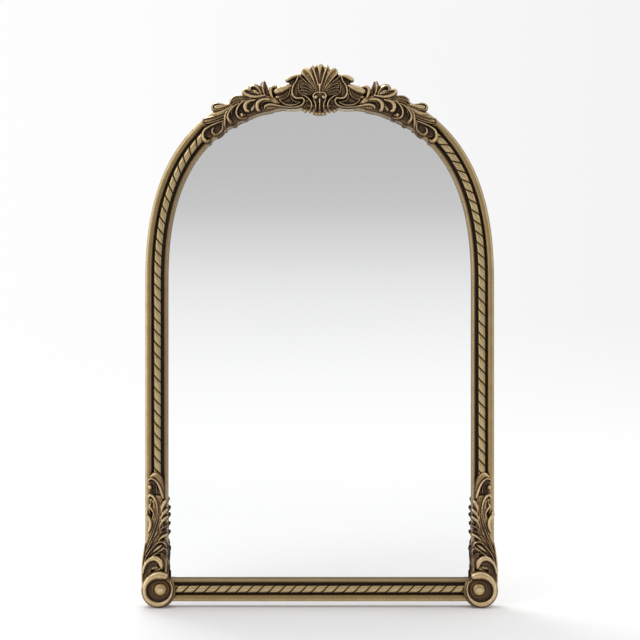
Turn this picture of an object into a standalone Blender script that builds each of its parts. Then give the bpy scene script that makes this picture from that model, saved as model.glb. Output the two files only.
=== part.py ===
"""An arched mirror that stands on two scroll feet: moulded wood rails, applied cast ornament, glass and back.

X runs across the mirror, Y from front to back and Z up. The origin is on the floor, midway between the feet.
"""
import math

import bmesh
import bpy
from mathutils import Vector

for old_object in list(bpy.data.objects):
    bpy.data.objects.remove(old_object, do_unlink=True)

# Frame sizes, in metres
FRAME_WIDTH = 0.600
SPRING_HEIGHT = 0.549
ARCH_RISE = 0.348
ARCH_FULLNESS = 2.488
RAIL_WIDTH = 0.040
RAIL_DEPTH = 0.026
RAIL_GROUND_GAP = 0.0108
SEAT_GAP = 0.0003
CUT_OVERRUN = 0.002

# Moulding section, from the outer edge to the sight edge
OUTER_BEAD_WIDTH = 0.011
OUTER_BEAD_RISE = 0.006
OUTER_GROOVE_WIDTH = 0.003
ROPE_WIDTH = 0.013
ROPE_RISE = 0.0055
ROPE_SEAT_HEIGHT = 0.019
GROOVE_DEPTH = 0.003
INNER_BEAD_WIDTH = 0.008
INNER_BEAD_HEIGHT = 0.0235
INNER_BEAD_RISE = 0.004
BACK_FLAT = 0.024

# Glass and back
GLASS_THICKNESS = 0.004
GLASS_HOLD = 0.007
BOARD_THICKNESS = 0.003
PANE_CLEARANCE = 0.0005

# Ornament
ORNAMENT_RELIEF = 0.011
LEAF_RELIEF_SHARE = 0.86
SPRAY_REACH = 0.234
SHELL_HALF_WIDTH = 0.0385
SHELL_HEIGHT = 0.0884
SHELL_DROP = 0.054
SHELL_PLATE = 0.0045
CREST_BLOCK_LENGTH = 0.022
CREST_BLOCK_HEIGHT = 0.013
CREST_BLOCK_BACK = 0.008
CORNER_LEAF_HEIGHT = 0.2026

# Feet
FOOT_OVERHANG = 0.005
SCROLL_RADIUS = 0.0307
SCROLL_FLAT_DEPTH = 0.0005
SCROLL_RIM_WIDTH = 0.0118
SCROLL_FLOOR = 0.002
BOSS_RADIUS = 0.012
BOSS_HEIGHT = 0.0082
BOSS_EDGE = 0.0022

# Dowels
DOWEL_RADIUS = 0.004
DOWEL_LENGTH = 0.032
PIN_RADIUS = 0.003
PIN_LENGTH = 0.022
DOWEL_INSET = 0.013
DOWEL_HEIGHT = 0.0095
SCROLL_PIN_REACH = 0.018
SCROLL_PIN_BOSS_DEPTH = 0.003

# Screws, hangers and bumpers
SCREW_RADIUS = 0.0015
SCREW_LENGTH = 0.012
SCREW_HEAD_RADIUS = 0.003
SCREW_HEAD_HEIGHT = 0.0019
WIRE_RADIUS = 0.0014
STRAP_THICKNESS = 0.001
STRAP_WIDTH = 0.014
STRAP_LENGTH = 0.033
RING_SIDE_PLAY = 0.001
RING_CORNER_RADIUS = 0.002
RING_LEG = 0.006
HANGER_RISE = 0.091
STRAP_SCREW_REACH = 0.0085
STRAP_SCREW_PITCH = 0.018
BUMPER_RADIUS = 0.006
BUMPER_HEIGHT = 0.0065
LOWER_BUMPER_HEIGHT = 0.075

# Counts
ARCH_SAMPLES = 2000
ARCH_STEPS = 22
BEAD_STEPS = 5
ROUND_SIDES = 12
SCREW_SIDES = 10
SCROLL_SIDES = 40
WIRE_SIDES = 8
STROKE_STEPS = 2
CREST_BLOCK_STEPS = 3
CORNER_STEPS = 3

# Sizes that follow from the ones above
HALF_WIDTH = FRAME_WIDTH / 2
INNER_BEAD_START = RAIL_WIDTH - INNER_BEAD_WIDTH
ROPE_START = OUTER_BEAD_WIDTH + OUTER_GROOVE_WIDTH
ARCH_TOP = SPRING_HEIGHT + ARCH_RISE
HANGER_HEIGHT = SPRING_HEIGHT + HANGER_RISE
GLASS_BACK = BOARD_THICKNESS + SEAT_GAP
GLASS_FRONT = GLASS_BACK + GLASS_THICKNESS
LIP_HEIGHT = GLASS_FRONT + SEAT_GAP
GLASS_INSET = RAIL_WIDTH - GLASS_HOLD
ORNAMENT_BASE = RAIL_DEPTH + SEAT_GAP
FRONT_HEIGHT = RAIL_DEPTH + ORNAMENT_RELIEF
BACK_Y = (FRONT_HEIGHT - BUMPER_HEIGHT) / 2
SCROLL_X = HALF_WIDTH + FOOT_OVERHANG - SCROLL_RADIUS
SCROLL_Z = SCROLL_RADIUS - SCROLL_FLAT_DEPTH
SCROLL_FLOOR_HEIGHT = ORNAMENT_BASE + SCROLL_FLOOR
MITRE_SHIFT = SEAT_GAP / math.sqrt(2)
SIDES = {"left": -1, "right": 1}

# Turned outlines, as shares. The scroll's are of its rim's width: in from its edge, and back from its front
SCROLL_RIM_SHARES = [(0.85, 0.3), (0.6, 0.04), (0.38, 0.0), (0.14, 0.14), (0.0, 0.5)]
# The boss's are of its radius and of its height above its edge
BOSS_SHARES = [(1.0, 0.0), (0.8, 0.1), (0.7, 0.45), (0.4, 0.88), (0.0, 1.0)]
# The screw head's are of its radius and of its height
HEAD_SHARES = [(1.0, 0.0), (1.0, 0.5), (0.6, 0.9), (0.0, 1.0)]
# The bumper's are of its radius and of its height
BUMPER_SHARES = [(1.0, 0.6), (0.85, 1.0)]
# A stroke's rounded end: its reach, its width and its rise, all as shares of the stroke's own
STROKE_TIP_SHARES = (0.8, 0.45, 0.5)
# A stroke's edge stands at this share of its height
STROKE_EDGE_SHARE = 0.5
# The strokes of the shell start inside its plate, at this share of its thickness
SHELL_SINK_SHARE = 0.33

# Leaf strokes on the arch: points are shares of the spray's reach along the arch from the crown and of the
# rail's width outwards from its edge, and the widths are shares of the rail's width at start, middle and end
SPRAY_STROKE_SHARES = [
    ([(0.41, -0.5), (0.55, -0.46), (0.7, -0.48), (0.85, -0.54), (0.95, -0.57)], (0.3, 0.36, 0.16), 0.35),
    ([(0.41, -0.62), (0.49, -0.36), (0.59, -0.32), (0.68, -0.32), (0.79, -0.42), (0.89, -0.51), (1.0, -0.57)],
     (0.14, 0.15, 0.08), 0.75),
    ([(0.415, -0.42), (0.405, -0.02), (0.403, 0.26)], (0.09, 0.16, 0.08), 1.0),
    ([(0.45, -0.4), (0.468, -0.03), (0.5, 0.2)], (0.09, 0.16, 0.1), 0.9),
    ([(0.49, -0.37), (0.527, -0.1), (0.56, 0.07)], (0.09, 0.13, 0.09), 0.8),
    ([(0.565, -0.34), (0.605, -0.12), (0.645, 0.04)], (0.12, 0.15, 0.09), 0.75),
    ([(0.68, -0.34), (0.736, -0.12), (0.79, 0.01)], (0.13, 0.15, 0.09), 0.8),
    ([(0.78, -0.42), (0.837, -0.22), (0.885, -0.13)], (0.13, 0.13, 0.07), 0.75),
    ([(0.45, -0.44), (0.49, -0.6), (0.49, -0.82)], (0.08, 0.09, 0.06), 0.85),
    ([(0.54, -0.34), (0.59, -0.5), (0.589, -0.76)], (0.08, 0.09, 0.06), 0.85),
    ([(0.62, -0.32), (0.668, -0.52), (0.682, -0.78), (0.64, -0.92)], (0.09, 0.09, 0.08), 0.9),
    ([(0.69, -0.34), (0.74, -0.52), (0.75, -0.85)], (0.09, 0.09, 0.08), 0.85),
    ([(0.79, -0.42), (0.85, -0.56), (0.875, -0.86)], (0.08, 0.09, 0.07), 0.85),
    ([(0.88, -0.5), (0.95, -0.56), (0.98, -0.74)], (0.07, 0.08, 0.05), 0.8),
]
SCROLL_STROKE_SHARES = [
    ([(0.165, 0.3), (0.202, 0.05), (0.209, -0.3), (0.185, -0.58), (0.135, -0.74)], (0.06, 0.08, 0.08), 0.9),
    ([(0.135, -0.74), (0.14, -0.9), (0.19, -0.96), (0.272, -0.92), (0.37, -0.72)], (0.08, 0.07, 0.06), 0.8),
    ([(0.215, -0.03), (0.285, -0.16), (0.345, -0.32)], (0.08, 0.15, 0.08), 1.0),
    ([(0.31, -0.14), (0.355, -0.16), (0.36, -0.3), (0.325, -0.56), (0.27, -0.78)], (0.06, 0.07, 0.08), 0.75),
    ([(0.245, 0.14), (0.2, 0.16), (0.172, 0.26)], (0.08, 0.1, 0.05), 0.85),
    ([(0.24, -0.1), (0.25, -0.48), (0.237, -0.8)], (0.16, 0.24, 0.16), 0.55),
]
SPRAY_START_SHARE = 0.3925

# The shell: shares of its half width and of its height from the skirt's foot
SHELL_OUTLINE_SHARES = [
    (0.0, 0.01), (0.1, 0.0), (0.22, 0.05), (0.4, 0.03), (0.6, 0.08), (0.52, 0.18), (0.5, 0.3), (0.62, 0.37),
    (0.86, 0.45), (0.93, 0.55), (0.88, 0.66), (0.79, 0.76), (0.71, 0.87), (0.6, 0.92), (0.34, 0.955),
    (0.17, 0.985), (0.0, 0.985),
]
SHELL_STROKE_SHARES = [
    ([(0.0, 0.42), (0.0, 0.7), (0.0, 0.94)], (0.05, 0.11, 0.17), 0.95),
    ([(0.07, 0.42), (0.2, 0.7), (0.31, 0.93)], (0.04, 0.05, 0.07), 0.75),
    ([(0.14, 0.42), (0.36, 0.64), (0.58, 0.85)], (0.05, 0.11, 0.15), 0.95),
    ([(0.2, 0.4), (0.48, 0.56), (0.72, 0.69)], (0.05, 0.08, 0.11), 0.8),
    ([(0.24, 0.38), (0.5, 0.47), (0.79, 0.53)], (0.05, 0.09, 0.12), 0.75),
    ([(0.0, 0.36), (0.0, 0.2), (0.0, 0.05)], (0.14, 0.07, 0.08), 1.0),
    ([(0.12, 0.32), (0.2, 0.18), (0.23, 0.08)], (0.06, 0.05, 0.07), 0.8),
    ([(0.3, 0.34), (0.37, 0.22), (0.45, 0.1)], (0.06, 0.07, 0.09), 0.8),
]

# The corner leaf: shares of the rail's width inwards from its edge, and of the leaf's height above the
# centre of the foot scroll
LEAF_STROKE_SHARES = [
    ([(0.5, 0.9), (0.56, 0.75), (0.58, 0.6), (0.52, 0.45), (0.46, 0.22)], (0.22, 0.4, 0.44), 0.35),
    ([(0.52, 0.9), (0.6, 0.8), (0.56, 0.664), (0.42, 0.513), (0.24, 0.361), (0.12, 0.2)],
     (0.18, 0.2, 0.14), 0.7),
    ([(0.24, 0.9), (0.34, 0.955), (0.56, 0.965), (0.72, 0.91), (0.78, 0.8)], (0.09, 0.11, 0.07), 1.0),
    ([(0.56, 0.7), (0.32, 0.78)], (0.12, 0.11, 0.08), 0.8),
    ([(0.5, 0.6), (0.2, 0.69)], (0.12, 0.12, 0.08), 0.85),
    ([(0.4, 0.49), (0.26, 0.6)], (0.1, 0.1, 0.06), 0.7),
    ([(0.6, 0.66), (0.9, 0.735)], (0.12, 0.11, 0.07), 0.85),
    ([(0.58, 0.58), (0.95, 0.645)], (0.12, 0.11, 0.07), 0.85),
    ([(0.5, 0.5), (0.96, 0.555)], (0.12, 0.11, 0.07), 0.85),
    ([(0.42, 0.42), (0.96, 0.47)], (0.12, 0.12, 0.07), 0.85),
    ([(0.34, 0.34), (0.94, 0.39)], (0.12, 0.13, 0.07), 0.85),
    ([(0.24, 0.26), (0.86, 0.318)], (0.12, 0.13, 0.08), 0.85),
    ([(0.04, 0.17), (0.19, 0.23), (0.45, 0.262), (0.77, 0.235), (0.86, 0.185)], (0.08, 0.13, 0.08), 1.0),
]


def depth(height):
    """The Y of a point that stands this high above the frame's back."""
    return BACK_Y - height


def arch_rows():
    """Arc length from the crown, x and z along the right half of the arch's outer edge."""
    rows = []
    travelled = 0.0
    for step in range(ARCH_SAMPLES + 1):
        turn = math.pi / 2 * step / ARCH_SAMPLES
        x = HALF_WIDTH * abs(math.sin(turn)) ** (2 / ARCH_FULLNESS)
        z = SPRING_HEIGHT + ARCH_RISE * abs(math.cos(turn)) ** (2 / ARCH_FULLNESS)
        if rows:
            travelled += math.dist((x, z), rows[-1][1:])
        rows.append((travelled, x, z))
    return rows


ARCH_ROWS = arch_rows()
ARCH_LENGTH = ARCH_ROWS[-1][0]


def outer_edge(along):
    """The outer edge at an arc length from the crown: over the arch, then down the straight side."""
    if along < 0:
        x, z = outer_edge(-along)
        return -x, z
    if along >= ARCH_LENGTH:
        return HALF_WIDTH, SPRING_HEIGHT - (along - ARCH_LENGTH)
    low, high = 0, ARCH_SAMPLES
    while high - low > 1:
        middle = (low + high) // 2
        if ARCH_ROWS[middle][0] <= along:
            low = middle
        else:
            high = middle
    start, end = ARCH_ROWS[low], ARCH_ROWS[high]
    share = (along - start[0]) / (end[0] - start[0])
    return start[1] + share * (end[1] - start[1]), start[2] + share * (end[2] - start[2])


def arch_place(along, across):
    """The x and z of a point beside the outer edge: across is outwards, so inwards is negative."""
    x, z = outer_edge(along)
    step = ARCH_LENGTH / ARCH_STEPS / ROUND_SIDES
    back_x, back_z = outer_edge(along - step)
    ahead_x, ahead_z = outer_edge(along + step)
    span = math.dist((back_x, back_z), (ahead_x, ahead_z))
    run_x, run_z = (ahead_x - back_x) / span, (ahead_z - back_z) / span
    return x - run_z * across, z + run_x * across


def outer_x(height):
    """The half width of the frame at a height on the arch."""
    rise_share = (height - SPRING_HEIGHT) / ARCH_RISE
    return HALF_WIDTH * (1 - rise_share ** ARCH_FULLNESS) ** (1 / ARCH_FULLNESS)


def material(name, colour, roughness, metallic):
    """One Principled material for one piece."""
    made = bpy.data.materials.new(name)
    made.use_nodes = True
    shader = made.node_tree.nodes["Principled BSDF"]
    shader.inputs["Base Color"].default_value = (*colour, 1.0)
    shader.inputs["Roughness"].default_value = roughness
    shader.inputs["Metallic"].default_value = metallic
    return made


# Colour, roughness and metallic value of each finish
FINISHES = {
    "gold": ((0.36, 0.24, 0.12), 0.42, 0.85),
    "rope_gold": ((0.42, 0.31, 0.16), 0.4, 0.85),
    "ornament_gold": ((0.40, 0.28, 0.14), 0.4, 0.85),
    "mirror": ((0.9, 0.91, 0.92), 0.03, 1.0),
    "board": ((0.38, 0.26, 0.16), 0.85, 0.0),
    "dowel": ((0.66, 0.5, 0.32), 0.7, 0.0),
    "steel": ((0.55, 0.55, 0.56), 0.35, 1.0),
    "rubber": ((0.04, 0.04, 0.045), 0.8, 0.0),
}


def add_object(name, bm, finish):
    """Closes a bmesh into a named object with its own material."""
    bmesh.ops.recalc_face_normals(bm, faces=bm.faces)
    mesh = bpy.data.meshes.new(name)
    bm.to_mesh(mesh)
    bm.free()
    made = bpy.data.objects.new(name, mesh)
    bpy.context.scene.collection.objects.link(made)
    made.data.materials.append(material(name, *FINISHES[finish]))
    return made


def combine(target, tool, operation):
    """Applies one Boolean to the target and removes the tool."""
    modifier = target.modifiers.new(operation.lower(), "BOOLEAN")
    modifier.operation = operation
    modifier.solver = "EXACT"
    modifier.use_self = True
    modifier.object = tool
    evaluated = target.evaluated_get(bpy.context.evaluated_depsgraph_get())
    mesh = bpy.data.meshes.new_from_object(evaluated)
    target.modifiers.clear()
    spent = target.data
    target.data = mesh
    bpy.data.meshes.remove(spent)
    bpy.data.objects.remove(tool, do_unlink=True)
    mesh.materials.clear()
    mesh.materials.append(bpy.data.materials[target.name])


def shade_round(made):
    """Smooths a round piece and keeps its corners sharp."""
    made.data.shade_smooth()
    made.data.set_sharp_from_angle(angle=math.radians(40))


def sweep(rings, closed=False):
    """A solid through rings of points that all have the same count."""
    bm = bmesh.new()
    loops = [[bm.verts.new(point) for point in ring] for ring in rings]
    pairs = list(zip(loops, loops[1:]))
    if closed:
        pairs.append((loops[-1], loops[0]))
    for first, second in pairs:
        for index in range(len(first)):
            following = (index + 1) % len(first)
            bm.faces.new((first[index], first[following], second[following], second[index]))
    if not closed:
        bm.faces.new(list(reversed(loops[0])))
        bm.faces.new(loops[-1])
    return bm


def lathe(profile, sides, centre, axis, across):
    """Turns (radius, distance along the axis) pairs round an axis; a radius of zero ends in one point."""
    centre, axis, across = Vector(centre), Vector(axis).normalized(), Vector(across).normalized()
    other = axis.cross(across)
    bm = bmesh.new()
    loops = []
    for radius, travel in profile:
        middle = centre + axis * travel
        if radius == 0:
            loops.append([bm.verts.new(middle)])
            continue
        loop = []
        for side in range(sides):
            turn = 2 * math.pi * side / sides
            loop.append(bm.verts.new(middle + radius * (across * math.cos(turn) + other * math.sin(turn))))
        loops.append(loop)
    for first, second in zip(loops, loops[1:]):
        for side in range(sides):
            following = (side + 1) % sides
            corners = [first[side % len(first)], first[following % len(first)],
                       second[following % len(second)], second[side % len(second)]]
            bm.faces.new(list(dict.fromkeys(corners)))
    if len(loops[0]) > 1:
        bm.faces.new(list(reversed(loops[0])))
    if len(loops[-1]) > 1:
        bm.faces.new(loops[-1])
    return bm


def rod(centre, axis, across, radius, start, end, sides=ROUND_SIDES):
    """A plain cylinder between two distances along an axis."""
    return lathe([(radius, start), (radius, end)], sides, centre, axis, across)


def drill(target, centre, axis, across, radius, start, end):
    """Cuts a round hole that holds a pin of this radius with the seat gap round it."""
    sides = SCREW_SIDES if radius == SCREW_RADIUS else ROUND_SIDES
    cutter = add_object("drill", rod(centre, axis, across, radius + SEAT_GAP, start, end, sides), "steel")
    combine(target, cutter, "DIFFERENCE")


def bead(start, width, shoulder, rise):
    """A half-oval bead of the section, from its first shoulder to its second."""
    points = []
    for step in range(BEAD_STEPS + 1):
        turn = math.pi * step / BEAD_STEPS
        points.append((start + width / 2 * (1 - math.cos(turn)), shoulder + rise * math.sin(turn)))
    return points


def rail_section():
    """The moulding's section: distance in from the outer edge, and height above the back."""
    groove_floor = ROPE_SEAT_HEIGHT - GROOVE_DEPTH
    rope_end = ROPE_START + ROPE_WIDTH
    points = [(0, 0)]
    points += bead(0, OUTER_BEAD_WIDTH, RAIL_DEPTH - OUTER_BEAD_RISE, OUTER_BEAD_RISE)
    points += [(OUTER_BEAD_WIDTH, groove_floor), (ROPE_START, groove_floor)]
    points += [(ROPE_START, ROPE_SEAT_HEIGHT), (rope_end, ROPE_SEAT_HEIGHT)]
    points += [(rope_end, groove_floor), (INNER_BEAD_START, groove_floor)]
    points += bead(INNER_BEAD_START, INNER_BEAD_WIDTH, INNER_BEAD_HEIGHT - INNER_BEAD_RISE, INNER_BEAD_RISE)
    points += [(RAIL_WIDTH, LIP_HEIGHT), (GLASS_INSET, LIP_HEIGHT), (GLASS_INSET, GLASS_BACK)]
    points += [(BACK_FLAT, GLASS_BACK), (BACK_FLAT, 0)]
    return points


def rope_section():
    """The rope bead's plain D section on its seat."""
    return bead(ROPE_START, ROPE_WIDTH, ROPE_SEAT_HEIGHT + SEAT_GAP, ROPE_RISE)


def arch_sweep(section, side, start, end):
    """Carries a section along the arch between two arc lengths from the crown."""
    rings = []
    for step in range(ARCH_STEPS + 1):
        along = start + (end - start) * step / ARCH_STEPS
        ring = []
        for inset, height in section:
            x, z = arch_place(along, -inset)
            ring.append((side * x, depth(height), z))
        rings.append(ring)
    return sweep(rings)


def side_sweep(section, side, top, foot):
    """Carries a section down one side; foot gives the lower end's height at each inset."""
    rings = []
    for end in (lambda inset: top, foot):
        rings.append([(side * (HALF_WIDTH - inset), depth(height), end(inset)) for inset, height in section])
    return sweep(rings)


def bottom_sweep(section, half_length):
    """Carries a section along the bottom; half_length gives each end's reach at each inset."""
    rings = []
    for side in SIDES.values():
        rings.append([(side * half_length(inset), depth(height), RAIL_GROUND_GAP + inset)
                      for inset, height in section])
    return sweep(rings)


def make_rails():
    """The five rails, mitred at the foot and butted at the springing and the crown."""
    section = rail_section()
    rails = {}
    for name, side in SIDES.items():
        bm = arch_sweep(section, side, SEAT_GAP / 2, ARCH_LENGTH - SEAT_GAP / 2)
        rails["arch_rail_" + name] = add_object("arch_rail_" + name, bm, "gold")
        bm = side_sweep(section, side, SPRING_HEIGHT - SEAT_GAP / 2,
                        lambda inset: RAIL_GROUND_GAP + inset + MITRE_SHIFT)
        rails["side_rail_" + name] = add_object("side_rail_" + name, bm, "gold")
    bm = bottom_sweep(section, lambda inset: HALF_WIDTH - inset - MITRE_SHIFT)
    rails["bottom_rail"] = add_object("bottom_rail", bm, "gold")
    return rails


def make_ropes():
    """The rope beads: they end under the spray, the corner leaf and the foot scroll."""
    section = rope_section()
    scroll_edge = SCROLL_RADIUS - ROPE_WIDTH / 2
    for name, side in SIDES.items():
        bm = arch_sweep(section, side, SPRAY_REACH * SPRAY_START_SHARE, ARCH_LENGTH - SEAT_GAP / 2)
        add_object("rope_bead_arch_" + name, bm, "rope_gold")
        bm = side_sweep(section, side, SPRING_HEIGHT - SEAT_GAP / 2, lambda inset: SCROLL_Z + scroll_edge)
        add_object("rope_bead_side_" + name, bm, "rope_gold")
    bm = bottom_sweep(section, lambda inset: SCROLL_X - scroll_edge)
    add_object("rope_bead_bottom", bm, "rope_gold")


def pane_outline(inset):
    """The pane's outline at an inset from the frame's outer edge, from its lower right corner."""
    foot = RAIL_GROUND_GAP + inset
    right = [(HALF_WIDTH - inset, foot)]
    for step in range(ARCH_STEPS, 0, -1):
        right.append(arch_place(ARCH_LENGTH * step / ARCH_STEPS, -inset))
    left = [(-x, z) for x, z in reversed(right)]
    return right + [arch_place(0, -inset)] + left


def prism(outline, low, high):
    """An outline in X and Z extruded between two heights above the back."""
    return sweep([[(x, depth(height), z) for x, z in outline] for height in (low, high)])


def make_pane():
    """The glass in its rebate and the board that closes it."""
    add_object("mirror_glass", prism(pane_outline(GLASS_INSET + PANE_CLEARANCE), GLASS_BACK, GLASS_FRONT),
               "mirror")
    return add_object("backing_board", prism(pane_outline(BACK_FLAT + PANE_CLEARANCE), 0, BOARD_THICKNESS),
                      "board")


def smooth_points(points, steps):
    """Points along a smooth curve through the given ones."""
    ends = [points[0]] + list(points) + [points[-1]]
    made = []
    for index in range(1, len(ends) - 2):
        before, start, end, after = ends[index - 1:index + 3]
        for step in range(steps):
            t = step / steps
            made.append(tuple(
                0.5 * (2 * b + (c - a) * t + (2 * a - 5 * b + 4 * c - d) * t ** 2
                       + (3 * b - a - 3 * c + d) * t ** 3)
                for a, b, c, d in zip(before, start, end, after)))
    return made + [tuple(points[-1])]


def stroke(points, half_widths, relief_share, base):
    """One carved ridge along a curve in X and Z, flat behind at its base height, with rounded ends."""
    path = [Vector(point) for point in smooth_points(points, STROKE_STEPS)]
    last = len(path) - 1
    stations = []
    for index, point in enumerate(path):
        share = 2 * index / last
        low = min(int(share), 1)
        half = half_widths[low] + (half_widths[low + 1] - half_widths[low]) * (share - low)
        run = (path[min(index + 1, last)] - path[max(index - 1, 0)]).normalized()
        stations.append((point, run, half, 1.0))
    reach_share, width_share, rise_share = STROKE_TIP_SHARES
    point, run, half, _ = stations[0]
    stations.insert(0, (point - run * half * reach_share, run, half * width_share, rise_share))
    point, run, half, _ = stations[-1]
    stations.append((point + run * half * reach_share, run, half * width_share, rise_share))
    rings = []
    for point, run, half, rise in stations:
        across = Vector((-run.y, run.x))
        top = ORNAMENT_BASE + ORNAMENT_RELIEF * relief_share * rise * LEAF_RELIEF_SHARE
        edge = ORNAMENT_BASE + (top - ORNAMENT_BASE) * STROKE_EDGE_SHARE
        ring = []
        for reach, height in ((-half, base), (-half, edge), (0, top), (half, edge), (half, base)):
            place = point + across * reach
            ring.append((place.x, depth(height), place.y))
        rings.append(ring)
    return sweep(rings)


def unite_strokes(name, strokes, base=ORNAMENT_BASE, first=None):
    """Unites strokes, each with its points already placed, into one ornament."""
    made = first
    for points, half_widths, relief_share in strokes:
        bm = stroke(points, half_widths, relief_share, base)
        if made is None:
            made = add_object(name, bm, "ornament_gold")
        else:
            combine(made, add_object(name + "_stroke", bm, "ornament_gold"), "UNION")
    return made


def arch_strokes(table):
    """Places a table of shares along the left half of the arch."""
    placed = []
    for point_shares, width_shares, relief_share in table:
        points = []
        for along_share, across_share in point_shares:
            x, z = arch_place(along_share * SPRAY_REACH, across_share * RAIL_WIDTH)
            points.append((-x, z))
        placed.append((points, [share * RAIL_WIDTH for share in width_shares], relief_share))
    return placed


def leaf_strokes():
    """Places the corner leaf's strokes on the left rail."""
    placed = []
    for point_shares, width_shares, relief_share in LEAF_STROKE_SHARES:
        points = []
        for inset_share, rise_share in point_shares:
            points.append((inset_share * RAIL_WIDTH - HALF_WIDTH, SCROLL_Z + rise_share * CORNER_LEAF_HEIGHT))
        placed.append((points, [share * RAIL_WIDTH for share in width_shares], relief_share))
    return placed


def shell_place(x_share, z_share):
    """A point of the shell from its shares."""
    return x_share * SHELL_HALF_WIDTH, ARCH_TOP - SHELL_DROP + z_share * SHELL_HEIGHT


def shell_outline(margin):
    """The shell's whole outline, grown by a margin outwards from its middle height."""
    middle = ARCH_TOP - SHELL_DROP + SHELL_HEIGHT / 2
    half = []
    for x_share, z_share in SHELL_OUTLINE_SHARES:
        x, z = shell_place(x_share, z_share)
        grow_x = margin if x > 0 else 0
        half.append((x + grow_x, z + math.copysign(margin, z - middle)))
    return half + [(-x, z) for x, z in reversed(half[1:-1])]


def crest_block():
    """The block behind the shell that sits on top of the arch."""
    rings = []
    for step in range(-CREST_BLOCK_STEPS, CREST_BLOCK_STEPS + 1):
        along = CREST_BLOCK_LENGTH * step / CREST_BLOCK_STEPS
        ring = []
        for across, height in ((SEAT_GAP, CREST_BLOCK_BACK), (SEAT_GAP, ORNAMENT_BASE + SHELL_PLATE / 2),
                               (CREST_BLOCK_HEIGHT, ORNAMENT_BASE + SHELL_PLATE / 2),
                               (CREST_BLOCK_HEIGHT, CREST_BLOCK_BACK)):
            x, z = arch_place(along, across)
            ring.append((x, depth(height), z))
        rings.append(ring)
    return sweep(rings)


def make_shell():
    """The crest shell: a fluted plate on a block that stands on the crown."""
    plate = prism(shell_outline(0), ORNAMENT_BASE, ORNAMENT_BASE + SHELL_PLATE)
    made = add_object("crest_shell", plate, "ornament_gold")
    combine(made, add_object("crest_shell_block", crest_block(), "ornament_gold"), "UNION")
    strokes = []
    for point_shares, width_shares, relief_share in SHELL_STROKE_SHARES:
        for side in SIDES.values():
            if side < 0 and all(share[0] == 0 for share in point_shares):
                continue
            points = [shell_place(side * x_share, z_share) for x_share, z_share in point_shares]
            strokes.append((points, [share * SHELL_HALF_WIDTH for share in width_shares], relief_share))
    unite_strokes("crest_shell", strokes, ORNAMENT_BASE + SHELL_PLATE * SHELL_SINK_SHARE, made)


def side_box(near, far):
    """A tall box over the left of the crest between two distances from the middle."""
    low, high = SPRING_HEIGHT, ARCH_TOP + SHELL_HEIGHT
    return prism([(-near, low), (-far, low), (-far, high), (-near, high)], 0, FRONT_HEIGHT + CUT_OVERRUN)


def mirror_copy(source, name):
    """The right-hand copy of a left-hand piece."""
    bm = bmesh.new()
    bm.from_mesh(source.data)
    for vert in bm.verts:
        vert.co.x = -vert.co.x
    bmesh.ops.reverse_faces(bm, faces=bm.faces)
    return add_object(name, bm, "ornament_gold")


def make_leaves():
    """Crest scrolls, acanthus sprays and corner leaves, each left piece cut clear of its neighbour."""
    joint_x = arch_place(SPRAY_START_SHARE * SPRAY_REACH, 0)[0]
    far = HALF_WIDTH + RAIL_WIDTH
    scroll = unite_strokes("crest_scroll_left", arch_strokes(SCROLL_STROKE_SHARES))
    clear = prism(shell_outline(SEAT_GAP * 2), 0, FRONT_HEIGHT + CUT_OVERRUN)
    combine(scroll, add_object("shell_clearance", clear, "ornament_gold"), "DIFFERENCE")
    combine(scroll, add_object("spray_side", side_box(joint_x - SEAT_GAP / 2, far), "ornament_gold"),
            "DIFFERENCE")
    spray = unite_strokes("acanthus_spray_left", arch_strokes(SPRAY_STROKE_SHARES))
    combine(spray, add_object("scroll_side", side_box(0, joint_x + SEAT_GAP / 2), "ornament_gold"),
            "DIFFERENCE")
    leaf = unite_strokes("corner_leaf_left", leaf_strokes())
    clear = rod((-SCROLL_X, depth(0), SCROLL_Z), (0, -1, 0), (1, 0, 0), SCROLL_RADIUS + SEAT_GAP, 0,
                FRONT_HEIGHT + CUT_OVERRUN, SCROLL_SIDES)
    combine(leaf, add_object("scroll_clearance", clear, "ornament_gold"), "DIFFERENCE")
    for piece in (scroll, spray, leaf):
        mirror_copy(piece, piece.name.replace("_left", "_right"))


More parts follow.
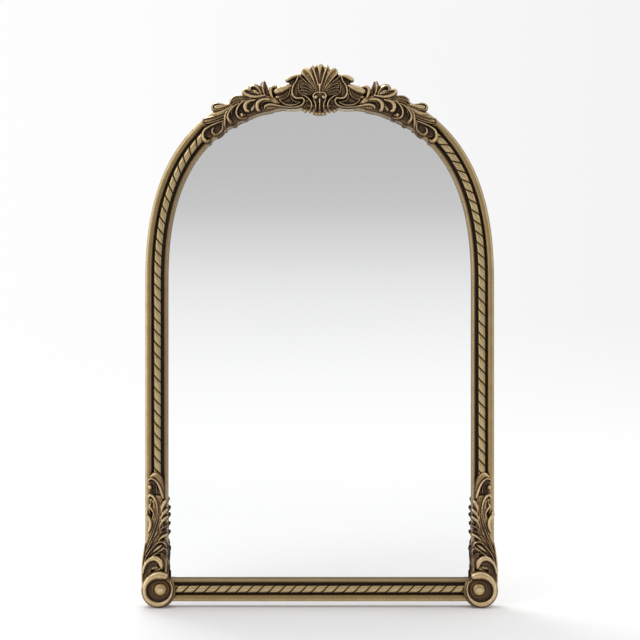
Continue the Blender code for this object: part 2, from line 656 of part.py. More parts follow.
def make_feet(rails):
    """The foot scrolls, which cup the mitred corners, with their bosses and the pins that hold them."""
    rim = SCROLL_RIM_WIDTH
    profile = [(0, SCROLL_FLOOR_HEIGHT), (SCROLL_RADIUS - rim, SCROLL_FLOOR_HEIGHT)]
    profile += [(SCROLL_RADIUS - rim * inset, FRONT_HEIGHT - rim * drop) for inset, drop in SCROLL_RIM_SHARES]
    profile += [(SCROLL_RADIUS, 0), (0, 0)]
    boss_base = SCROLL_FLOOR_HEIGHT + SEAT_GAP
    boss_edge, boss_rise = boss_base + BOSS_EDGE, BOSS_HEIGHT - BOSS_EDGE
    boss_profile = [(0, boss_base), (BOSS_RADIUS, boss_base)]
    boss_profile += [(BOSS_RADIUS * radius, boss_edge + boss_rise * rise) for radius, rise in BOSS_SHARES]
    pin_end = boss_base + SCROLL_PIN_BOSS_DEPTH
    for name, side in SIDES.items():
        centre = (side * SCROLL_X, depth(0), SCROLL_Z)
        forward, across = (0, -1, 0), (1, 0, 0)
        bm = lathe(profile, SCROLL_SIDES, centre, forward, across)
        for vert in bm.verts:
            vert.co.z = max(vert.co.z, 0)
        scroll = add_object("foot_scroll_" + name, bm, "ornament_gold")
        outside = side * (HALF_WIDTH + SEAT_GAP)
        pocket = [(outside, RAIL_GROUND_GAP - SEAT_GAP), (outside, SCROLL_RADIUS * 3),
                  (0, SCROLL_RADIUS * 3), (0, RAIL_GROUND_GAP - SEAT_GAP)]
        combine(scroll, add_object("rail_pocket", prism(pocket, -CUT_OVERRUN, ORNAMENT_BASE), "gold"),
                "DIFFERENCE")
        bm = lathe(boss_profile, SCROLL_SIDES // 2, centre, forward, across)
        boss = add_object("scroll_boss_" + name, bm, "ornament_gold")
        pin_start = pin_end - SCROLL_PIN_REACH - SCROLL_PIN_BOSS_DEPTH
        for target in (scroll, boss, rails["bottom_rail"]):
            drill(target, centre, forward, across, PIN_RADIUS, pin_start - SEAT_GAP, pin_end + SEAT_GAP)
        bm = rod(centre, forward, across, PIN_RADIUS, pin_start, pin_end)
        add_object("scroll_dowel_" + name, bm, "dowel")
        shade_round(scroll)
        shade_round(boss)


def add_dowel(name, holders, centre, axis, radius, length):
    """A dowel centred on a joint, with its hole in each piece that it joins."""
    half = length / 2
    across = (0, 1, 0)
    for holder in holders:
        drill(holder, centre, axis, across, radius, -half - SEAT_GAP, half + SEAT_GAP)
    add_object(name, rod(centre, axis, across, radius, -half, half), "dowel")


def make_dowels(rails):
    """Dowels in the crown, springing and mitre joints."""
    y = depth(DOWEL_HEIGHT)
    add_dowel("crown_dowel", (rails["arch_rail_left"], rails["arch_rail_right"]),
              (0, y, ARCH_TOP - DOWEL_INSET), (1, 0, 0), DOWEL_RADIUS, DOWEL_LENGTH)
    for name, side in SIDES.items():
        arch_rail, side_rail = rails["arch_rail_" + name], rails["side_rail_" + name]
        x = side * (HALF_WIDTH - DOWEL_INSET)
        add_dowel("spring_dowel_" + name, (arch_rail, side_rail), (x, y, SPRING_HEIGHT), (0, 0, 1),
                  DOWEL_RADIUS, DOWEL_LENGTH)
        add_dowel("mitre_dowel_" + name, (side_rail, rails["bottom_rail"]),
                  (x, y, RAIL_GROUND_GAP + DOWEL_INSET), (side, 0, 1), PIN_RADIUS, PIN_LENGTH)


def add_screw(name, holders, place, seat):
    """A pan-head screw from behind: seat is how far behind the frame's back the clamped face lies."""
    x, z = place
    head = seat + SEAT_GAP
    tip = SCREW_LENGTH - head
    backward, across = (0, 1, 0), (1, 0, 0)
    for holder in holders:
        drill(holder, (x, depth(0), z), backward, across, SCREW_RADIUS, -tip - SEAT_GAP, seat + CUT_OVERRUN)
    profile = [(0, -tip), (SCREW_RADIUS, SCREW_RADIUS - tip), (SCREW_RADIUS, head)]
    profile += [(SCREW_HEAD_RADIUS * radius, head + SCREW_HEAD_HEIGHT * rise) for radius, rise in HEAD_SHARES]
    screw = lathe(profile, SCREW_SIDES, (x, depth(0), z), backward, across)
    shade_round(add_object(name, screw, "steel"))


# Where the board's screws stand: shares of the arch's length from the crown, of the side's height and of the
# half width
BOARD_SCREW_ARCH_SHARES = {"top": 0.22, "shoulder": 0.66}
BOARD_SCREW_SIDE_SHARE = 0.42
BOARD_SCREW_BOTTOM_SHARE = 0.45


def make_board_screws(rails, board):
    """Eight screws through the board's edge into the rails."""
    inset = (BACK_FLAT + GLASS_INSET) / 2
    for name, side in SIDES.items():
        for place_name, share in BOARD_SCREW_ARCH_SHARES.items():
            x, z = arch_place(ARCH_LENGTH * share, -inset)
            holders = (rails["arch_rail_" + name], board)
            add_screw(f"back_screw_{place_name}_{name}", holders, (side * x, z), 0)
        place = (side * (HALF_WIDTH - inset), SPRING_HEIGHT * BOARD_SCREW_SIDE_SHARE)
        add_screw("back_screw_side_" + name, (rails["side_rail_" + name], board), place, 0)
        place = (side * HALF_WIDTH * BOARD_SCREW_BOTTOM_SHARE, RAIL_GROUND_GAP + inset)
        add_screw("back_screw_bottom_" + name, (rails["bottom_rail"], board), place, 0)


def ring_path():
    """The D-ring's centre line, closed, in X and Z below its pivot."""
    half = STRAP_WIDTH / 2 + RING_SIDE_PLAY + WIRE_RADIUS
    corner = RING_CORNER_RADIUS
    points = []
    for step in range(ROUND_SIDES + 1):
        turn = math.pi * step / ROUND_SIDES
        points.append((-half * math.cos(turn), -RING_LEG - half * math.sin(turn)))
    for step in range(CORNER_STEPS + 1):
        turn = math.pi / 2 * step / CORNER_STEPS
        points.append((half - corner + corner * math.cos(turn), -corner + corner * math.sin(turn)))
    for step in range(CORNER_STEPS + 1):
        turn = math.pi / 2 * step / CORNER_STEPS
        points.append((-half + corner - corner * math.sin(turn), -corner + corner * math.cos(turn)))
    return [Vector(point) for point in points]


def ring_solid():
    """The ring as a round wire about its pivot, which is the object's origin."""
    path = ring_path()
    count = len(path)
    rings = []
    for index, point in enumerate(path):
        run = (path[(index + 1) % count] - path[index - 1]).normalized()
        across = Vector((-run.y, run.x))
        ring = []
        for side in range(WIRE_SIDES):
            turn = 2 * math.pi * (side + 0.5) / WIRE_SIDES
            reach = across * (WIRE_RADIUS * math.cos(turn))
            ring.append((point.x + reach.x, WIRE_RADIUS * math.sin(turn), point.y + reach.y))
        rings.append(ring)
    return sweep(rings, closed=True)


def make_hangers(rails):
    """Strap hangers on the arch rails, each with a D-ring that swings in its knuckle."""
    bore = WIRE_RADIUS + SEAT_GAP
    knuckle = bore + STRAP_THICKNESS
    strap_back = SEAT_GAP + STRAP_THICKNESS
    pivot_y = depth(-SEAT_GAP - knuckle)
    strap_top = HANGER_HEIGHT + STRAP_LENGTH
    hanger_x = outer_x(strap_top) - BACK_FLAT / 2
    for name, side in SIDES.items():
        x = side * hanger_x
        low_x, high_x = x - STRAP_WIDTH / 2, x + STRAP_WIDTH / 2
        corners = [(low_x, HANGER_HEIGHT), (high_x, HANGER_HEIGHT), (high_x, strap_top), (low_x, strap_top)]
        plate = prism(corners, -strap_back, -SEAT_GAP)
        strap = add_object("hanger_strap_" + name, plate, "steel")
        for index, level in enumerate(("lower", "upper")):
            place = (x, HANGER_HEIGHT + STRAP_SCREW_REACH + STRAP_SCREW_PITCH * index)
            add_screw(f"hanger_screw_{level}_{name}", (rails["arch_rail_" + name], strap), place, strap_back)
        pivot = (x, pivot_y, HANGER_HEIGHT)
        axis, across = (1, 0, 0), (0, 1, 0)
        half = STRAP_WIDTH / 2
        eye = rod(pivot, axis, across, knuckle, -half, half, ROUND_SIDES * 2)
        combine(strap, add_object("knuckle", eye, "steel"), "UNION")
        hole = rod(pivot, axis, across, bore, -half - CUT_OVERRUN, half + CUT_OVERRUN, ROUND_SIDES * 2)
        combine(strap, add_object("bore", hole, "steel"), "DIFFERENCE")
        ring = add_object("hanger_ring_" + name, ring_solid(), "steel")
        ring.location = pivot
        shade_round(strap)
        shade_round(ring)


def add_bumper(name, place):
    """A round rubber foot on the frame's back."""
    x, z = place
    profile = [(BUMPER_RADIUS, SEAT_GAP)]
    profile += [(BUMPER_RADIUS * radius, BUMPER_HEIGHT * rise) for radius, rise in BUMPER_SHARES]
    bumper = lathe(profile, ROUND_SIDES + 4, (x, depth(0), z), (0, 1, 0), (1, 0, 0))
    shade_round(add_object(name, bumper, "rubber"))


# How far down the arch the upper bumpers stand, as a share of its length
UPPER_BUMPER_SHARE = 0.46


def make_bumpers():
    """Four wall bumpers, two on the arch and two low on the sides."""
    for name, side in SIDES.items():
        x, z = arch_place(ARCH_LENGTH * UPPER_BUMPER_SHARE, -BACK_FLAT / 2)
        add_bumper("bumper_upper_" + name, (side * x, z))
        add_bumper("bumper_lower_" + name, (side * (HALF_WIDTH - BACK_FLAT / 2), LOWER_BUMPER_HEIGHT))


def build():
    """Makes every piece of the mirror."""
    rails = make_rails()
    make_ropes()
    board = make_pane()
    make_shell()
    make_leaves()
    make_feet(rails)
    make_dowels(rails)
    make_board_screws(rails, board)
    make_hangers(rails)
    make_bumpers()
    for rail in rails.values():
        shade_round(rail)


build()
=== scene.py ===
"""The looks of the arched mirror: gilt mouldings, roped beads, cast ornament, silvered glass and hardware.

X runs across the mirror, Y from front to back and Z up, in metres. A height is a distance in front of the
frame's back. Ornament is drawn in pixels of the photograph, which place() turns into metres.
"""
import math

import bmesh
import bpy
import numpy as np
from mathutils import Matrix, Vector


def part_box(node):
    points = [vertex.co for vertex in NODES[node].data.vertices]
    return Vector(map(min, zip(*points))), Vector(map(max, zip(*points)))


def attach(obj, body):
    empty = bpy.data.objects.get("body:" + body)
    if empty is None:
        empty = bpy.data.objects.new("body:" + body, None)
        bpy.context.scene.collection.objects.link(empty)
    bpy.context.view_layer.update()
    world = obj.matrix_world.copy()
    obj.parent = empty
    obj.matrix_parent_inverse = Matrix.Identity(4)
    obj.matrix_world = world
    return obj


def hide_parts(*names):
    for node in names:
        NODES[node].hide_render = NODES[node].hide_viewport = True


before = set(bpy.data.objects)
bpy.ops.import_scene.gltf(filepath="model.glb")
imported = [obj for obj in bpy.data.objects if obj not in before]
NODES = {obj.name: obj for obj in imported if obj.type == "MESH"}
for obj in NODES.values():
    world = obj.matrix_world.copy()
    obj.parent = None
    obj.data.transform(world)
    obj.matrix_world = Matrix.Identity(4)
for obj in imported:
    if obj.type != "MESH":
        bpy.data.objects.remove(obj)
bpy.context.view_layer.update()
SIDES = {"left": -1, "right": 1}
MM = 0.001

# The frame's sizes, as the CAD has them
HALF_WIDTH = 300 * MM
SPRING_HEIGHT = 549 * MM
ARCH_RISE = 348 * MM
ARCH_FULLNESS = 2.488
BACK_Y = 15.25 * MM
SEAT_GAP = 0.3 * MM
ORNAMENT_SEAT = 26 * MM
FOOT_RADIUS = 30.7 * MM
FOOT_X = 274.3 * MM
FOOT_Z = 30.2 * MM

# Half the gap at a joint, the height inside the rail from which ornament rises, and its greatest height
JOINT_GAP = 0.1 * MM
ORNAMENT_BASE = 22.5 * MM
FRONT = 36.9 * MM

# The bottom rail's underside, 0.7 mm lower than the CAD's, as the photograph shows it
GROUND_GAP = 10.1 * MM

# The photograph's frame: the camera looks along Y from this far in front of the ornament's middle height
PIXEL = 1.7117 * MM
PHOTO_CENTRE = 319.65
PHOTO_MIDDLE = 320
PHOTO_SIZE = 640
CAMERA_HEIGHT = 493.7 * MM
CAMERA_DISTANCE = 2.4
PICTURE_HEIGHT = 31 * MM
SENSOR_WIDTH = 36


def depth(height):
    """The Y of a point this far in front of the frame's back."""
    return BACK_Y - height


def place(px, py):
    """The X and Z of a pixel of the photograph, on the plane of the ornament."""
    return (px - PHOTO_CENTRE) * PIXEL, CAMERA_HEIGHT - (py - PHOTO_MIDDLE) * PIXEL


# The arch

def arch_table():
    """Arc length, X and Z down the right half of the arch's outer edge, from the crown."""
    turn = np.linspace(0, math.pi / 2, 6001)
    x = HALF_WIDTH * np.abs(np.sin(turn)) ** (2 / ARCH_FULLNESS)
    z = SPRING_HEIGHT + ARCH_RISE * np.abs(np.cos(turn)) ** (2 / ARCH_FULLNESS)
    run = np.concatenate([[0], np.cumsum(np.hypot(np.diff(x), np.diff(z)))])
    return run, x, z


ARCH_RUN, ARCH_X, ARCH_Z = arch_table()
ARCH_LENGTH = ARCH_RUN[-1]


def outer_edge(along):
    """Points on the outer edge at arc lengths from the crown: over the arch, then down the straight side."""
    along = np.asarray(along, float)
    reach = np.abs(along)
    x = np.sign(along) * np.interp(reach, ARCH_RUN, ARCH_X)
    z = np.interp(reach, ARCH_RUN, ARCH_Z) - np.maximum(reach - ARCH_LENGTH, 0)
    return x, z


def arch_place(along, across):
    """Points beside the outer edge: across is outwards, so inwards is negative."""
    along, across = np.asarray(along, float), np.asarray(across, float)
    step = 1.6 * MM
    x, z = outer_edge(along)
    back_x, back_z = outer_edge(along - step)
    ahead_x, ahead_z = outer_edge(along + step)
    span = np.hypot(ahead_x - back_x, ahead_z - back_z)
    run_x, run_z = (ahead_x - back_x) / span, (ahead_z - back_z) / span
    return x - run_z * across, z + run_x * across


# Meshes

def new_object(name, data):
    """An object of this data in the scene."""
    made = bpy.data.objects.new(name, data)
    bpy.context.scene.collection.objects.link(made)
    return made


def add_piece(name, mesh, slot, node, sharp_angle=40, body="frame"):
    """Adds a mesh, in its slot's look, as a piece that rides on a body and stands for a CAD node."""
    mesh.name = name
    piece = new_object(name, mesh)
    mesh.materials.clear()
    mesh.materials.append(LOOKS[slot])
    mesh.shade_smooth()
    mesh.set_sharp_from_angle(angle=math.radians(sharp_angle))
    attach(piece, body)
    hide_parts(node)


def mesh_of(points, faces, wash_and_shading=None):
    """A mesh from arrays, with its faces pointing out and, at each point, how dark its gilding is: wash with
    painted light and shade.
    """
    mesh = bpy.data.meshes.new("shape")
    mesh.from_pydata([tuple(p) for p in points], [], faces)
    if wash_and_shading is not None:
        set_wash_and_shading(mesh, wash_and_shading)
    bm = bmesh.new()
    bm.from_mesh(mesh)
    bmesh.ops.recalc_face_normals(bm, faces=bm.faces)
    bm.to_mesh(mesh)
    bm.free()
    return mesh


def set_wash_and_shading(mesh, values):
    """Keeps how dark the gilding is at each point, from 0 on a rubbed crest with painted highlight to 1 in a
    recess with dark wash and painted shade.
    """
    attribute = mesh.attributes.get("wash_and_shading") or mesh.attributes.new("wash_and_shading", "FLOAT", "POINT")
    attribute.data.foreach_set("value", np.asarray(values, np.float32))


def grid_faces(rows, columns, closed_rows=False):
    """Quads between rings of points, with the two ends capped unless the rings close on themselves."""
    faces = []
    for row in range(rows if closed_rows else rows - 1):
        following_row = (row + 1) % rows
        for column in range(columns):
            following = (column + 1) % columns
            faces.append((row * columns + column, row * columns + following,
                          following_row * columns + following, following_row * columns + column))
    if not closed_rows:
        faces.append(tuple(reversed(range(columns))))
        faces.append(tuple(range((rows - 1) * columns, rows * columns)))
    return faces


def ring_solid(rings, wash_and_shading=None, closed=False):
    """A solid through rings of points that all have the same count."""
    rings = np.asarray(rings, float)
    rows, columns = rings.shape[:2]
    values = None if wash_and_shading is None else np.asarray(wash_and_shading, float).reshape(-1)
    return mesh_of(rings.reshape(-1, 3), grid_faces(rows, columns, closed), values)


def lathe(profile, centre, sides, way=1, wash_and_shading=None):
    """Turns (radius, travel) pairs round an axis that runs back or, with way -1, forward. A radius of 0 gets
    a tiny rim, and the ends are closed by flat caps."""
    centre, axis, across = Vector(centre), Vector((0, way, 0)), Vector((1, 0, 0))
    other = axis.cross(across)
    rings = []
    for radius, travel in profile:
        middle = centre + axis * travel
        ring = []
        for side in range(sides):
            turn = 2 * math.pi * side / sides
            ring.append(middle + max(radius, 0.01 * MM) * (across * math.cos(turn) + other * math.sin(turn)))
        rings.append(ring)
    values = None if wash_and_shading is None else np.repeat(np.asarray(wash_and_shading, float)[:, None], sides, axis=1)
    return ring_solid(rings, values)


def block(x_ends, y_ends, z_ends):
    """A box between two values on each axis."""
    (left, right), (bottom, top) = x_ends, z_ends
    corners = ((left, bottom), (left, top), (right, top), (right, bottom))
    return ring_solid([[(x, y, z) for x, z in corners] for y in y_ends])


def unit_rows(rows):
    """Each row scaled to a length of one."""
    return rows / np.linalg.norm(rows, axis=1)[:, None]


def applied(made):
    """An object's mesh with its modifiers applied; the object is removed."""
    bpy.context.view_layer.update()
    evaluated = made.evaluated_get(bpy.context.evaluated_depsgraph_get())
    mesh = bpy.data.meshes.new_from_object(evaluated)
    bpy.data.objects.remove(made)
    return mesh


def carved_out(mesh, tool):
    """A mesh less what a tool fills."""
    made, cutter = new_object("carved", mesh), new_object("cutter", tool)
    modifier = made.modifiers.new("cut", "BOOLEAN")
    modifier.operation = "DIFFERENCE"
    modifier.solver = "EXACT"
    modifier.object = cutter
    carved = applied(made)
    bpy.data.objects.remove(cutter)
    return carved


def cut_at(mesh, point, direction):
    """Cuts away what lies beyond a plane and closes the cut."""
    bm = bmesh.new()
    bm.from_mesh(mesh)
    geometry = bm.verts[:] + bm.edges[:] + bm.faces[:]
    cut = bmesh.ops.bisect_plane(bm, geom=geometry, plane_co=point, plane_no=direction, clear_outer=True)
    edges = [e for e in cut["geom_cut"] if isinstance(e, bmesh.types.BMEdge) and e.is_boundary]
    bmesh.ops.contextual_create(bm, geom=edges)
    bmesh.ops.recalc_face_normals(bm, faces=bm.faces)
    bm.to_mesh(mesh)
    bm.free()
    return mesh


def mirrored(mesh):
    """The right-hand copy of a left-hand mesh."""
    made = mesh.copy()
    made.transform(Matrix.Scale(-1, 4, (1, 0, 0)))
    made.flip_normals()
    return made


# Materials

def new_look(name):
    """A material with an empty Principled shader, and its node tree."""
    look = bpy.data.materials.new(name)
    look.use_nodes = True
    return look, look.node_tree, look.node_tree.nodes["Principled BSDF"]


def feed(tree, socket, value):
    """Links an input to an output, or sets its value."""
    if isinstance(value, bpy.types.NodeSocket):
        tree.links.new(value, socket)
    else:
        socket.default_value = value


def add_node(tree, kind, inputs=(), **settings):
    """A node with its properties set, and its inputs fed by outputs or values."""
    made = tree.nodes.new(kind)
    for name, value in settings.items():
        setattr(made, name, value)
    for key, value in dict(inputs).items():
        feed(tree, made.inputs[key], value)
    return made


def noise_node(tree, scale, detail=3.0, stretch=(1, 1, 1), roughness=0.5):
    """Noise in the piece's own space, per metre; stretch runs it out along an axis."""
    coordinates = add_node(tree, "ShaderNodeTexCoord").outputs["Object"]
    mapping = add_node(tree, "ShaderNodeMapping", {"Vector": coordinates, "Scale": stretch})
    texture = add_node(tree, "ShaderNodeTexNoise", {"Vector": mapping.outputs["Vector"], "Scale": scale,
                                                    "Detail": detail, "Roughness": roughness})
    return texture.outputs["Fac"]


def math_node(tree, operation, *values, clamp=False):
    """A Math node on values or sockets."""
    made = add_node(tree, "ShaderNodeMath", enumerate(values), operation=operation, use_clamp=clamp)
    return made.outputs[0]


def mix_node(tree, share, first, second, blend="MIX"):
    """A colour that goes from the first to the second as the share goes from 0 to 1."""
    made = add_node(tree, "ShaderNodeMix", data_type="RGBA", blend_type=blend)
    for key, value in (("Factor", share), (6, first), (7, second)):
        feed(tree, made.inputs[key], value)
    return made.outputs[2]


def ramp_node(tree, source, stops):
    """A colour ramp on a value; a stop is a position and a colour or a grey."""
    made = add_node(tree, "ShaderNodeValToRGB", {"Fac": source})
    elements = made.color_ramp.elements
    while len(elements) > 1:
        elements.remove(elements[-1])
    for index, (position, colour) in enumerate(stops):
        if isinstance(colour, (int, float)):
            colour = (colour, colour, colour)
        element = elements[0] if index == 0 else elements.new(position)
        element.position = position
        element.color = (*colour, 1)
    return made.outputs["Color"]


def bump_node(tree, shader, height, strength, distance):
    """Bump on the shader from a height."""
    bump = add_node(tree, "ShaderNodeBump", {"Height": height, "Strength": strength, "Distance": distance})
    feed(tree, shader.inputs["Normal"], bump.outputs["Normal"])


# The gilding's colours by darkness: rubbed crest with painted highlight, gold, bronze, brown wash with
# painted shade, and near black wash and painted shade in the deepest recess
GOLD_STOPS = [
    (0.0, (0.58, 0.45, 0.25)),
    (0.2, (0.34, 0.245, 0.112)),
    (0.45, (0.20, 0.128, 0.056)),
    (0.7, (0.085, 0.046, 0.021)),
    (1.0, (0.02, 0.010, 0.006)),
]

# The cast ornament's wash, with the painted shade in it, is redder
ORNAMENT_STOPS = [
    (0.0, (0.60, 0.46, 0.26)),
    (0.2, (0.35, 0.24, 0.11)),
    (0.45, (0.205, 0.120, 0.053)),
    (0.7, (0.098, 0.047, 0.020)),
    (1.0, (0.024, 0.011, 0.006)),
]


def gold_look(name, stops, mottle):
    """Antique gilding coloured by each point's darkness: a brown wash with painted shade in its recesses and
    painted highlights on crests and lit faces; mottle is how uneven it is.
    """
    look, tree, shader = new_look(name)
    value = add_node(tree, "ShaderNodeAttribute", attribute_name="wash_and_shading").outputs["Fac"]
    for scale, detail in ((55, 4), (420, 3)):
        spots = math_node(tree, "MULTIPLY_ADD", noise_node(tree, scale, detail), mottle, -mottle / 2)
        value = math_node(tree, "ADD", value, spots)
    value.node.use_clamp = True
    for socket, ramp in (("Base Color", stops), ("Roughness", [(0, 0.26), (0.4, 0.36), (1, 0.7)]),
                         ("Metallic", [(0, 0.92), (0.45, 0.85), (0.9, 0.25)])):
        feed(tree, shader.inputs[socket], ramp_node(tree, value, ramp))
    bump_node(tree, shader, noise_node(tree, 700, 4), 0.25, 0.25 * MM)
    return look


def noise_look(name, grain, colours, patches, roughness, bump=None, metallic=0):
    """A material whose colour and roughness each follow a noise by stops; bump is a noise, a strength and a
    depth."""
    look, tree, shader = new_look(name)
    shader.inputs["Metallic"].default_value = metallic
    for socket, noise, stops in (("Base Color", grain, colours), ("Roughness", patches, roughness)):
        feed(tree, shader.inputs[socket], ramp_node(tree, noise_node(tree, *noise), stops))
    if bump:
        noise, strength, distance = bump
        bump_node(tree, shader, noise_node(tree, *noise), strength, distance)
    return look


def mirror_look():
    """Silvered glass: a clean mirror with the faintest unevenness of its float glass."""
    tints = [(0.3, (0.955, 0.965, 0.962)), (0.7, (0.968, 0.972, 0.972))]
    return noise_look("silvered_glass", (3, 2), tints, (9, 3), [(0.3, 0.012), (0.7, 0.02)], metallic=1)


def board_look():
    """Hardboard: brown pressed fibre with a pressed grain."""
    fibre = (260, 8, (1, 1, 0.35), 0.7)
    browns = [(0.3, (0.115, 0.066, 0.036)), (0.5, (0.19, 0.115, 0.062)), (0.72, (0.29, 0.19, 0.11))]
    return noise_look("hardboard", fibre, browns, (30, 3), [(0.3, 0.62), (0.7, 0.8)], (fibre, 0.35, 0.3 * MM))


def wood_look():
    """Beech dowel with a straight grain."""
    grain = (340, 6, (1, 1, 0.12), 0.6)
    browns = [(0.3, (0.42, 0.26, 0.13)), (0.7, (0.62, 0.43, 0.25))]
    return noise_look("beech", grain, browns, grain, [(0, 0.62)], (grain, 0.3, 0.2 * MM))


def steel_look():
    """Zinc-plated steel: fine brush marks and dull patches."""
    patches, brushed = (240, 4), (900, 3, (1, 1, 0.1))
    greys = [(0.3, (0.47, 0.47, 0.465)), (0.7, (0.66, 0.655, 0.64))]
    return noise_look("zinc_plate", patches, greys, patches, [(0.3, 0.42), (0.7, 0.27)],
                      bump=(brushed, 0.15, 0.1 * MM), metallic=1)


def rubber_look():
    """Black rubber with a little dust on it."""
    dust = (500, 5)
    blacks = [(0.35, (0.016, 0.016, 0.018)), (0.75, (0.045, 0.044, 0.045))]
    return noise_look("rubber", dust, blacks, dust, [(0.3, 0.62), (0.7, 0.85)], (dust, 0.2, 0.1 * MM))


# The look of each slot that scene pieces use
LOOKS = {
    "gilt_wood": gold_look("moulding_gold", GOLD_STOPS, 0.16),
    "gilt_rope": gold_look("rope_gold", GOLD_STOPS, 0.16),
    "gilt_ornament": gold_look("ornament_gold", ORNAMENT_STOPS, 0.3),
    "steel": steel_look(),
    "rubber": rubber_look(),
}


# The moulding

def bead_points(start, width, shoulder, rise, steps):
    """A half-oval bead of the section."""
    points = []
    for step in range(steps + 1):
        turn = math.pi * step / steps
        points.append((start + width / 2 * (1 - math.cos(turn)), shoulder + rise * math.sin(turn)))
    return points


def moulding_section():
    """Inset from the outer edge, height and darkness round the moulding, in metres; the darkness is wash
    together with painted shade in the grooves and on the beads' flanks.
    """
    rows = [(0.4, 0, 0.9), (0, 0.5, 0.85), (0, 8, 0.6), (0, 15, 0.5)]
    # The outer bead darkens towards its groove and at its outermost edge: painted shade on its flanks
    for inset, height in bead_points(0, 12, 19.6, 6.4, 16):
        share = inset / 12
        rows.append((inset, height, 0.12 + 0.55 * max(share - 0.25, 0) ** 1.5 + 0.3 * max(1 - 10 * share, 0)))
    # The grooves are darkest: wash and painted shade
    rows += [(12, 18.2, 0.85), (12.1, 16.3, 1), (12.4, 16, 1), (14.6, 16, 1), (14.9, 16.3, 1), (15, 19, 0.9)]
    rows += [(27.4, 19, 0.9), (27.5, 16.3, 1), (27.9, 16, 1), (31.4, 16, 1), (31.9, 16.4, 1), (32, 18, 0.9)]
    # The inner bead darkens towards its groove: painted shade with the wash
    for inset, height in bead_points(32, 5, 19.5, 4, 12)[:7]:
        rows.append((inset, height, 0.5 + 0.3 * max(34 - inset, 0) / 2))
    # The sight edge is lighter on its round and darkens into the rebate: painted light and shade
    rows += [(35.4, 22.9, 0.34), (36.3, 21.7, 0.26), (37.2, 19.6, 0.21), (37.8, 16.8, 0.24), (38, 13.6, 0.34)]
    rows += [(37.7, 10.8, 0.38), (37, 8.6, 0.5), (36.2, 7.6, 0.65), (33, 7.6, 0.9), (33, 3.3, 0.9)]
    rows += [(24, 3.3, 0.9), (24, 0.3, 0.95), (23.7, 0, 0.95)]
    return [(inset * MM, height * MM, wash_and_shading) for inset, height, wash_and_shading in rows]


SECTION = moulding_section()
INSETS = np.array([inset for inset, _, _ in SECTION])
SECTION_YS = np.array([depth(height) for _, height, _ in SECTION])


def add_moulding(name, xs, zs, node):
    """A rail through stations, each a row of X and of Z for the section's points."""
    rings = [np.stack([x, SECTION_YS, z], axis=1) for x, z in zip(xs, zs)]
    wash_and_shading = [[value for _, _, value in SECTION]] * len(rings)
    add_piece(name, ring_solid(rings, wash_and_shading), "gilt_wood", node)


def make_mouldings():
    """The five gilt rails; the uprights and the bottom one end at mitres."""
    stations = np.linspace(JOINT_GAP, ARCH_LENGTH - JOINT_GAP, 110)
    arch = [arch_place(np.full(len(INSETS), along), -INSETS) for along in stations]
    mitre = GROUND_GAP + INSETS
    top = np.full(len(INSETS), SPRING_HEIGHT - JOINT_GAP)
    upright = [top + (mitre + SEAT_GAP - top) * share for share in np.linspace(0, 1, 13)]
    for name, side in SIDES.items():
        xs, zs = [side * x for x, _ in arch], [z for _, z in arch]
        add_moulding("arch_moulding_" + name, xs, zs, "arch_rail_" + name)
        xs = [side * (HALF_WIDTH - INSETS)] * len(upright)
        add_moulding("side_moulding_" + name, xs, upright, "side_rail_" + name)
    xs = [(HALF_WIDTH - INSETS - SEAT_GAP) * share for share in np.linspace(-1, 1, 15)]
    add_moulding("bottom_moulding", xs, [mitre] * len(xs), "bottom_rail")


# The roped bead

# Its seat in the channel, a little wider than the CAD's
ROPE_START = 14.6 * MM
ROPE_WIDTH = 13.2 * MM
ROPE_SEAT = 19.3 * MM
ROPE_RISE = 5.5 * MM
# Its strands: their pitches, the depth of the cut between them and how far each one is rounded over
ROPE_PITCH = 19.8 * MM
BOTTOM_PITCH = 18.4 * MM
ROPE_CUT_DEPTH = 3.0 * MM
ROPE_PILLOW = 0.35 * MM
# Where the arch's rope comes out from under the crest, and where a strand's middle lies, from the crown
ROPE_ARCH_START = 92 * MM
ROPE_PHASES = {"left": 4 * MM, "right": 9 * MM}
# Where a strand's rows lie, as shares of its pitch from its middle, with how deep the cut is there
STRAND_ROWS = [(-0.5, 1), (-0.478, 0.93), (-0.45, 0.5), (-0.42, 0.2), (-0.37, 0.06), (-0.26, 0.01),
               (-0.1, 0), (0.1, 0), (0.26, 0.01), (0.37, 0.06), (0.42, 0.2), (0.45, 0.5), (0.478, 0.93)]


def rope(curve, start, end, pitch, phase, slope):
    """A roped bead along a curve, whose strands run across it at 45 degrees; slope gives their hand."""
    columns = np.linspace(0, 1, 15)
    turn = math.pi * columns
    insets = ROPE_START + ROPE_WIDTH / 2 * (1 - np.cos(turn))
    lean = slope * (insets - ROPE_START - ROPE_WIDTH / 2)
    dome = np.sin(turn) ** 0.75
    rings, wash_and_shading = [], []
    first = math.floor((start - ROPE_WIDTH - phase) / pitch)
    last = math.ceil((end + ROPE_WIDTH - phase) / pitch)
    for strand in range(first, last + 1):
        for share, cut in STRAND_ROWS:
            along = phase + (strand + share) * pitch
            height = ROPE_SEAT + (ROPE_RISE - cut * ROPE_CUT_DEPTH) * dome
            pillow = ROPE_PILLOW * (2 * share) ** 2 * dome
            x, z = curve(along + lean, insets)
            rings.append(np.stack([x, depth(height - pillow), z], axis=1))
            # Painted shade with the wash: darker in the cuts between strands and where the rope meets its
            # seat
            edge = np.clip(1 - dome, 0, 1)
            wash_and_shading.append(np.clip(0.07 + 0.9 * cut + 0.62 * edge ** 1.5, 0, 1))
    return ring_solid(rings, wash_and_shading)


